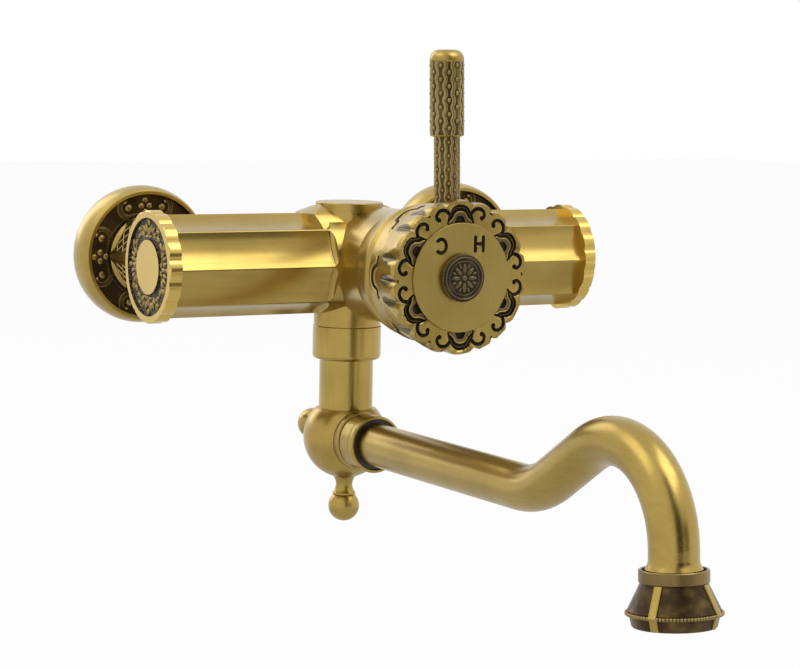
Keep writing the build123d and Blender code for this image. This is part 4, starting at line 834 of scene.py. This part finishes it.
def cap_sprays(side, place):
    """Sprays of leaves round an end cap's ring, each with a curled stem on both sides."""
    ring = (CAP_RING_INNER + CAP_RING_OUTER) / 2
    pieces = []
    for quarter in turns_round(SPRAYS):
        for angle, away, tilt, length, width in SPRAY_LEAVES:
            for way in ((-1, 1) if angle else (1,)):
                spot = turn_z(-way * radians(angle)) @ shift(0, ring + away, CAP_FLOOR)
                one = leaf(length, width, LEAF_TALL)
                one.data.transform(quarter @ spot @ turn_z(way * radians(tilt)))
                pieces.append(one)
        for way in (-1, 1):
            stem = wire([((ring + away) * sin(way * radians(angle)), (ring + away) * cos(radians(angle)),
                          CAP_FLOOR, thick) for angle, away, thick in SPRAY_STEM], STEM_WIRE, sides=2)
            stem.data.transform(quarter)
            pieces.append(stem)
    relief = joined("cap_sprays_" + side, pieces)
    dress(settle(relief, place), "mixer_body", "dull")


def handle_lean():
    """Angle by which the lever and the drum's lobes stand left of upright."""
    hub, grip = middle("face_plate"), middle("lever_grip")
    return atan2(hub.x - grip.x, grip.z - hub.z)


def hub_frame(y, turn=0.0):
    """Frame on the handle's axis: its z runs towards the user."""
    centre = middle("face_plate")
    return axes((centre.x, y, centre.z), (1, 0, 0), (0, 0, 1)) @ turn_z(turn)


def both_sides(half):
    """Outline whose second half mirrors the first."""
    return half + list(reversed(mirrored(half)))


def hub_carving():
    """Drum with dark pockets, hooks and raised arch lines in its rim band."""
    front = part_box("handle_hub")[0].y
    place = hub_frame(front, handle_lean())
    places = turns_round(MOTIFS)
    hook = [(x, y, 0.0, thick) for (x, y), thick in zip(HOOK, HOOK_SWELL)]
    cutters = [wire(hook, GROOVE, sides=4), wire(mirrored(hook), GROOVE, sides=4)]
    cutters.append(plate(both_sides(POCKET), 2 * POCKET_DEPTH))
    cutters += [bead_at(HOOK_TIP, shift(x, y)) for x, y in (HOOK[-1], mirrored(HOOK)[-1])]
    for way in (1, -1):
        cutters.append(bead_at(CUSP_DOT, turn_z(way * CUSP_DOT_ANGLE) @ shift(0, CUSP_DOT_RING)))
    cutter = settle(spread("cutter", joined("motif", cutters), places), place)
    drum = carved("carved_drum", "handle_hub", cutter, "drum", "soot")
    dress(drum, "handle")
    arch = [(x, y, -ARCH_WIRE) for x, y in both_sides(ARCH_LINE)]
    arches = spread("drum_arches", wire(arch, ARCH_WIRE, sides=3), places)
    dress(settle(arches, place), "handle", "rings")
    step = plate(both_sides(ARCH_LINE) + list(reversed(both_sides(ARCH_INSIDE))), POCKET_DEPTH - ARCH_SUNK)
    step.data.transform(shift(0, 0, -(POCKET_DEPTH + ARCH_SUNK) / 2))
    steps = spread("drum_arch_steps", step, places)
    dress(settle(steps, place), "handle", "relic")
    faint = [(x, y, -POCKET_DEPTH + FAINT_WIRE) for x, y in both_sides(FAINT_LINE)]
    ridges = spread("drum_pocket_ridges", wire(faint, FAINT_WIRE, sides=2), places)
    dress(settle(ridges, place), "handle", "umber")


def plate_marks():
    """Disc with plain hot and cold marks cut into it."""
    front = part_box("face_plate")[0].y
    bars = [[(x, HOT_FOOT), (x, HOT_HEAD)] for x in HOT_POSTS]
    bars.append([(x, (HOT_FOOT + HOT_HEAD) / 2) for x in HOT_POSTS])
    cutters = [wire(bar, MARK_GROOVE, sides=3, kind="POLY") for bar in bars]
    cutters += [bead_at(MARK_GROOVE, shift(x, y)) for bar in bars[:2] for x, y in bar]
    cold = arc(COLD_CENTRE, COLD_RADIUS, pi - COLD_OPENING, COLD_OPENING - pi, 16)
    cutters.append(wire(cold, MARK_GROOVE, sides=3))
    cutter = settle(joined("marks", cutters), hub_frame(front))
    disc = carved("marked_disc", "face_plate", cutter, "disc", "soot")
    dress(disc, "handle")


def cap_rosette():
    """Knurled edge and a plain rosette on the small cap."""
    low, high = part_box("index_cap")
    radius = (high.x - low.x) / 2
    front = hub_frame(low.y)
    ridge = wire([(0, 0, z) for z in KNURL_ENDS], KNURL_WIRE, sides=1, kind="POLY")
    knurls = spread("cap_knurls", ridge, [turn @ shift(radius, 0) for turn in turns_round(KNURLS)])
    dress(settle(knurls, front), "handle", "aged_brass")
    rings = [wire(ring_line(radius - inset), thick, True, 2) for inset, thick in CAP_RINGS]
    petals = spread("petals", leaf(*PETAL), [turn @ shift(0, PETAL_RING) for turn in turns_round(PETALS)])
    between = spread("between", leaf(*SMALL_PETAL),
                     [turn @ shift(0, SMALL_PETAL_RING) for turn in turns_round(PETALS, pi / PETALS)])
    heart = bead(ROSETTE_HEART, 1.0, 0.6)
    rosette = settle(joined("cap_rosette", rings + [petals, between, heart]), front)
    dress(rosette, "handle", "relic")


def span(node, place):
    """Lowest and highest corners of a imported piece, in a frame."""
    spots = [place.inverted() @ vertex.co for vertex in nodes[node].data.vertices]
    low, high = (Vector([pick(spot[axis] for spot in spots) for axis in range(3)]) for pick in (min, max))
    return low, high


def lever_frame():
    """Frame on the drum's axis with its z up along the leaning lever."""
    lean = handle_lean()
    hub, rod = middle("face_plate"), middle("lever_rod")
    return axes((hub.x, rod.y, hub.z), (cos(lean), 0, sin(lean)), (0, 1, 0))


def lever_texture(name, node, radius, foot, head):
    """Dark core with wavy ribs and beads, in place of a plain lever piece."""
    place = lever_frame()
    spacing = tau / LEVER_COLUMNS
    half_width = radius * spacing * RIB_SHARE
    rib = (half_width ** 2 + RIB_DEPTH ** 2) / (2 * RIB_DEPTH)
    core = radius - RIB_DEPTH
    waves = []
    steps = RIB_STEPS * int((head - foot) / BEAD_PITCH + 1)
    for number in range(LEVER_COLUMNS):
        middle_angle = LEVER_FIRST_COLUMN + (number + 0.5) * spacing
        way = 1 if number % 2 else -1
        points = []
        for step in range(steps + 1):
            z = foot + (head - foot) * step / steps
            a = middle_angle - way * spacing * RIB_SWING * cos(tau * (z - BEAD_TOP) / BEAD_PITCH)
            points.append(((radius - rib) * sin(a), -(radius - rib) * cos(a), z))
        waves.append(wire(points, rib, sides=4))
    ribs = joined(name + "_ribs", waves)
    dress(settle(ribs, place), "handle", "lever_rib")
    spots = []
    for number in range(LEVER_COLUMNS):
        a = LEVER_FIRST_COLUMN + number * spacing
        z = BEAD_TOP - (BEAD_PITCH / 2 if number % 2 else 0.0)
        while z > foot + BEAD_CLEAR[0]:
            if z < head - BEAD_CLEAR[1]:
                spots.append(axes((core * sin(a), -core * cos(a), z), (cos(a), sin(a), 0), (0, 0, 1)))
            z -= BEAD_PITCH
    beads = spread(name + "_beads", bead(radius * spacing * BEAD_SHARE, 1.35, 0.75, 10, 6), spots)
    dress(settle(beads, place), "handle", "lever_rib")
    body = lathe([(0, foot), (core, foot), (core, head), (0, head)], LEVER_FACETS)
    body.name = name
    dress(settle(body, place), "handle", "umber")
    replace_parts(body, node)


def lever():
    """Rod and grip of the lever."""
    place = lever_frame()
    rod_low, rod_high = span("lever_rod", place)
    grip_low, grip_high = span("lever_grip", place)
    foot, top = grip_low.z, grip_high.z
    radius = grip_high.x
    dome_start = top - GRIP_DOME
    lever_texture("textured_rod", "lever_rod", rod_high.x, rod_low.z + ROD_FOOT_SHOWN, foot)
    lever_texture("textured_grip", "lever_grip", radius, foot + GRIP_BAND, dome_start)
    quarter = arc((radius - GRIP_DOME, dome_start), GRIP_DOME, 0, pi / 2, 12)
    seat = [(0, dome_start - DOME_SEAT[1]), (radius - DOME_SEAT[0], dome_start - DOME_SEAT[1]),
            (radius - DOME_LIP[0], dome_start - DOME_LIP[1])]
    dome = lathe(seat + [point[:2] for point in quarter] + [(0, top)], LEVER_FACETS)
    inside = rod_high.x - GRIP_BAND_DEPTH
    outside = radius - GRIP_BAND_INSET[1]
    band = lathe([(inside, foot), (radius - GRIP_BAND_INSET[0], foot), (outside, foot + GRIP_BAND),
                  (outside, foot + 2 * GRIP_BAND), (inside, foot + 2 * GRIP_BAND)], LEVER_FACETS)
    ends = settle(joined("grip_ends", [dome, band]), place)
    dress(ends, "handle", "rings")


def bar_ridges():
    """Rounded crests along the ridges between the bar's flutes."""
    low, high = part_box("body_casting")
    centre = middle("end_cap_left")
    half_length = (high.x - low.x) / 2
    crests = []
    for number in range(FLUTES):
        a = tau * number / FLUTES
        y = centre.y + (BAR_RADIUS - RIDGE_ROUND) * sin(a)
        z = centre.z + (BAR_RADIUS - RIDGE_ROUND) * cos(a)
        for side in (-1, 1):
            ends = [(side * RIDGE_START, y, z), (side * half_length, y, z)]
            crests.append(wire(ends, RIDGE_ROUND, sides=4, kind="POLY"))
    dress(joined("bar_ridges", crests), "mixer_body", "along_bar")


def outlet_frame():
    """Frame at the bell's upper rim: its z runs out of the spout, its x to the right."""
    heading = Vector((0.0, -sin(OUTLET_LEAN), -cos(OUTLET_LEAN)))
    origin = middle("aerator_washer") - heading * WASHER_DEPTH
    up = heading.cross(Vector((1, 0, 0)))
    return axes(origin, (1, 0, 0), up)


def aerator():
    """Bell with a bright cup, dark panels, brass straps and a ring of beads."""
    place = outlet_frame()
    bell_cup(place)
    bell_cone(place)
    spots = [turn @ shift(BEAD_RING[0], 0, BEAD_RING[1]) for turn in turns_round(BELL_BEADS)]
    beads = spread("bell_beads", bead(BEAD_RADIUS, 1.0, 1.0, 12, 8), spots)
    dress(settle(beads, place), "spout", "tan_bright")
    bell_straps(place)


def bell_cup(place):
    """Bright cup with rounded edges, in place of the plain bell."""
    radius, bottom = CUP
    mouth, floor = CUP_MOUTH
    cup = lathe([(BELL_THREAD, floor), (mouth, floor), (mouth, MOUTH_EDGE), (mouth + MOUTH_EDGE, 0.0),
                 (radius - CUP_EDGE, 0.0), (radius, CUP_EDGE), (radius, bottom - CUP_EDGE),
                 (radius - CUP_EDGE, bottom), (BELL_THREAD, bottom)])
    cup.name = "bell_cup"
    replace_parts(dress(settle(cup, place), "spout", "tan"), "aerator_bell")


def bell_cone(place):
    """Dark cone under the cup, with the water's chamber in its foot."""
    top = THROAT[1] - THROAT_LAP
    cone = lathe([(BELL_THREAD, top), (THROAT[0], top), THROAT, SKIRT, SKIRT_UNDER, LIP, FOOT_SIDE, FOOT_EDGE,
                  (CHAMBER[0], FOOT[1]), CHAMBER, (BELL_THREAD, CHAMBER[1])])
    cone.name = "bell_cone"
    dress(settle(cone, place), "spout", "panel")


def bell_straps(place):
    """Brass straps down the cone and over the beads."""
    shown = [(radius + STRAP_PROUD, down) for radius, down in (THROAT, SKIRT)]
    shown += [STRAP_OVER_BEADS, STRAP_OVER_LIP, STRAP_OVER_FOOT]
    sunk = [(radius - STRAP_DEEP, down) for radius, down in (FOOT, LIP, STRAP_IN_BEADS, SKIRT, THROAT)]
    upright = axes((0, 0, 0), (1, 0, 0), (0, 0, 1))
    places = [turn @ upright for turn in turns_round(STRAPS, pi / 2 - STRAP_ANGLE)]
    straps = spread("bell_straps", plate(shown + sunk, STRAP_WIDTH, STRAP_ROUND), places)
    dress(settle(straps, place), "spout", "rings")


def drum_brass():
    """Drum's brass, with painted shade: dark ovals in the valleys between its lobes, near the front, where
    the valleys reflect dark.
    """
    centre = middle("face_plate")
    oval_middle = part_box("handle_hub")[0].y + OVAL_BACK
    half_motif = pi / MOTIFS
    first = tau + half_motif + handle_lean()

    def build(place):
        parts = place.node("SeparateXYZ", {}, {"Vector": place})
        x = parts - centre.x
        y = Value(place.tree, parts.socket.node.outputs[1])
        z = Value(place.tree, parts.socket.node.outputs[2]) - centre.z
        angle = place.math("ARCTAN2", x, z) + first
        folded = place.math("ABSOLUTE", place.math("MODULO", angle, 2 * half_motif) - half_motif)
        radius = place.math("SQRT", x * x + z * z)
        along = (y - oval_middle) / OVAL_HALF_LENGTH
        shade_mask = None
        for valley in VALLEYS:
            across = (folded - valley) / OVAL_HALF_ANGLE
            here = 1.0 - (across * across + along * along).step(0.55, 1.1)
            shade_mask = here if shade_mask is None else place.math("MAXIMUM", shade_mask, here)
        shade_mask = shade_mask * radius.step(LOBE_FLOOR, LOBE_FLOOR + LOBE_RISE)
        brush = noise(place, 700.0, 3.0, (1.0, 0.05, 1.0))
        cloud = noise(place, 45.0, 3.0)
        brass = cloud.step(0.35, 0.72).mixed(BRASS, BRASS_SHADE)
        # Painted shade: the ovals darken the brass in the valleys
        colour = (shade_mask * 0.9).mixed(brass, OVAL_PAINTED_SHADE)
        return {"Base Color": colour, "Roughness": 0.27 + brush * 0.1 + shade_mask * 0.12,
                "Normal": bumped(brush, 0.12, 0.00004)}
    return material("drum_brass", build, Metallic=1.0, Coat_Weight=0.25, Coat_Roughness=0.25)


def drum_back_relief():
    """Raised arches with dark beds round the drum's rear edge, between the front motifs."""
    place = hub_frame(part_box("handle_hub")[1].y, handle_lean())
    places = turns_round(MOTIFS, pi / MOTIFS)

    def on_drum(line, radius, thick):
        return [(radius * sin(radians(a)), radius * cos(radians(a)), ahead, thick) for a, ahead in line]

    outer, inner = (half + mirrored(half[:-1])[::-1] for half in (BACK_ARCH, BACK_INNER))
    bed = [(BED_SHARE * a, ahead + BED_FORWARD) for a, ahead in outer[3:-3]]
    raised = BACK_RING + BACK_PROUD
    line = spread("lines", wire(on_drum(outer, raised, 1.0), BACK_WIRE, sides=2), places)
    small = spread("small", wire(on_drum(inner, raised, 0.9), BACK_WIRE, sides=2), places)
    arches = joined("drum_back_arches", [line, small])
    dress(settle(arches, place), "handle", "bright")
    bed_wire = wire(on_drum(bed, BACK_RING - BED_SUNK, 1.0), BED_WIRE, sides=2)
    beds = spread("drum_back_beds", bed_wire, places)
    dress(settle(beds, place), "handle", "soot")


FINISH_OF = {
    "body_casting": "along_bar", "spout_column": "upright", "spout_ring_nut": "upright",
    "top_plug": "rings", "cartridge_shroud": "rings", "spout_ball": "rings", "rear_finial": "rings",
    "bottom_finial": "rings", "arm_collar": "rings", "index_cap": "relic_dark",
    "union_nut_left": "rings", "union_nut_right": "rings",
    "end_cap_left": "cap", "end_cap_right": "cap",
    "wall_flange_left": "rings", "wall_flange_right": "rings",
}


def dress_packed_pieces():
    """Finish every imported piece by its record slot, or by its own brushing."""
    for subpart in frame["record"]["subparts"]:
        name = subpart["node"]
        coat(nodes[name], FINISH_OF.get(name, subpart["material_slot"]))


def empty_tree(owner):
    """Clear the nodes of a new material or world, and start values on them."""
    owner.use_nodes = True
    owner.node_tree.nodes.clear()
    return Value(owner.node_tree, None)


def stage():
    """Pale floor that looks white to the camera and to reflections."""
    fresh()
    bpy.ops.mesh.primitive_plane_add(size=FLOOR_SIZE, location=(0.0, FLOOR_BACK, cad_low[2] - FLOOR_BELOW))
    floor = bpy.context.object
    floor.name = "floor"
    made = bpy.data.materials.new("pale_floor")
    start = empty_tree(made)
    rays = light_rays(start)
    speckle = start.node("TexNoise", {}, {"Scale": 30.0})
    colour = speckle.mixed((0.86, 0.86, 0.86, 1.0), (0.90, 0.90, 0.90, 1.0))
    matt = start.node("BsdfDiffuse", {}, {"Color": colour})
    glow = start.node("Emission", {}, {"Color": WHITE, "Strength": 1.0})
    both = start.node("MixShader", {}, {0: rays * FLOOR_GLOW, 1: matt, 2: glow})
    start.node("OutputMaterial", {}, {"Surface": both})
    floor.data.materials.append(made)


def light_rays(start):
    """1 for rays from the camera, reflections and refractions."""
    path = start.tree.nodes.new("ShaderNodeLightPath")
    camera, glossy, through = (Value(start.tree, path.outputs[name])
                               for name in ("Is Camera Ray", "Is Glossy Ray", "Is Transmission Ray"))
    return start.math("MINIMUM", camera + glossy + through, 1.0)


def surroundings():
    """World that is white to the camera and to reflections, and dimmer as light."""
    world = bpy.data.worlds.new("surroundings")
    bpy.context.scene.world = world
    start = empty_tree(world)
    rays = light_rays(start)
    lit = start.node("Background", {}, {"Color": WHITE, "Strength": WORLD_LIGHT})
    seen = start.node("Background", {}, {"Color": WHITE, "Strength": 1.0})
    both = start.node("MixShader", {}, {0: rays, 1: lit, 2: seen})
    start.node("OutputWorld", {}, {"Surface": both})


def facing(place):
    """Turn that points an object's -z from its place at the mixer's middle."""
    return (Vector(MIXER_MIDDLE) - Vector(place)).to_track_quat("-Z", "Y")


def lamp(name, place, size, power):
    """Soft box that faces the mixer."""
    light = bpy.data.lights.new(name, "AREA")
    light.shape = "RECTANGLE"
    light.size, light.size_y = size
    light.energy = power
    made = bpy.data.objects.new(name, light)
    made.location = place
    made.rotation_mode = "QUATERNION"
    made.rotation_quaternion = facing(place)
    made.visible_camera = False
    bpy.context.scene.collection.objects.link(made)


def card(name, place, size, grey):
    """Grey card that faces the mixer and that only reflections see."""
    fresh()
    bpy.ops.mesh.primitive_plane_add(size=1.0)
    made = bpy.context.object
    made.name = name
    made.scale = (size[0], size[1], 1.0)
    made.rotation_mode = "QUATERNION"
    made.rotation_quaternion = facing(place)
    made.location = place
    made.visible_camera = False
    made.visible_diffuse = False
    made.visible_shadow = False
    paint = bpy.data.materials.new(name)
    start = empty_tree(paint)
    glow = start.node("Emission", {}, {"Color": (grey, grey, grey, 1.0), "Strength": 1.0})
    start.node("OutputMaterial", {}, {"Surface": glow})
    made.data.materials.append(paint)


def towards(azimuth, height, distance):
    """Point at a distance from the mixer; azimuth 0 is straight ahead of it, positive to the right."""
    a, h = radians(azimuth), radians(height)
    level = distance * cos(h)
    return (level * sin(a), MIXER_MIDDLE[1] - level * cos(a), distance * sin(h))


def lights():
    """Soft boxes and cards round the mixer."""
    lamp("top_box", towards(38, 58, 1.3), size=(1.0, 0.75), power=5.6)
    lamp("left_box", towards(-105, 52, 1.3), size=(0.9, 0.7), power=2.8)
    lamp("rear_box", towards(-165, 25, 1.5), size=(0.6, 1.1), power=3.4)
    card("card_front", towards(23, 3, 1.8), size=(0.68, 0.9), grey=0.1)
    card("card_gap", towards(-6, 8, 0.8), size=(0.36, 0.56), grey=0.0)
    card("card_upper", towards(-14, 44, 1.5), size=(0.42, 0.9), grey=0.0)
    card("card_below", MIXER_MIDDLE[:2] + (cad_low[2] - CARD_BELOW,), size=(0.8, 0.8), grey=0.72)


def camera():
    """Camera at the photograph's view."""
    made = bpy.data.objects.new("camera", bpy.data.cameras.new("camera"))
    level_share = cos(CAMERA_DROP)
    ahead = Vector((sin(CAMERA_YAW) * level_share, cos(CAMERA_YAW) * level_share, -sin(CAMERA_DROP)))
    level = Vector((cos(CAMERA_YAW), -sin(CAMERA_YAW), 0.0))
    above = level.cross(ahead)
    right = cos(CAMERA_ROLL) * level + sin(CAMERA_ROLL) * above
    up = cos(CAMERA_ROLL) * above - sin(CAMERA_ROLL) * level
    turn = Matrix((right, up, -ahead)).transposed().to_4x4()
    made.matrix_world = Matrix.Translation(CAMERA_PLACE) @ turn
    made.data.sensor_width = CAMERA_SENSOR
    made.data.lens = CAMERA_LENS
    bpy.context.scene.collection.objects.link(made)
    bpy.context.scene.camera = made


camera()
palette = make_palette()
dress_packed_pieces()
for side in ("left", "right"):
    flange_ornament(side)
    nut_ornament(side)
    cap_ornament(side)
bar_ridges()
hub_carving()
plate_marks()
cap_rosette()
drum_back_relief()
lever()
aerator()
stage()
surroundings()
lights()
bpy.context.scene.view_settings.view_transform = "Standard"
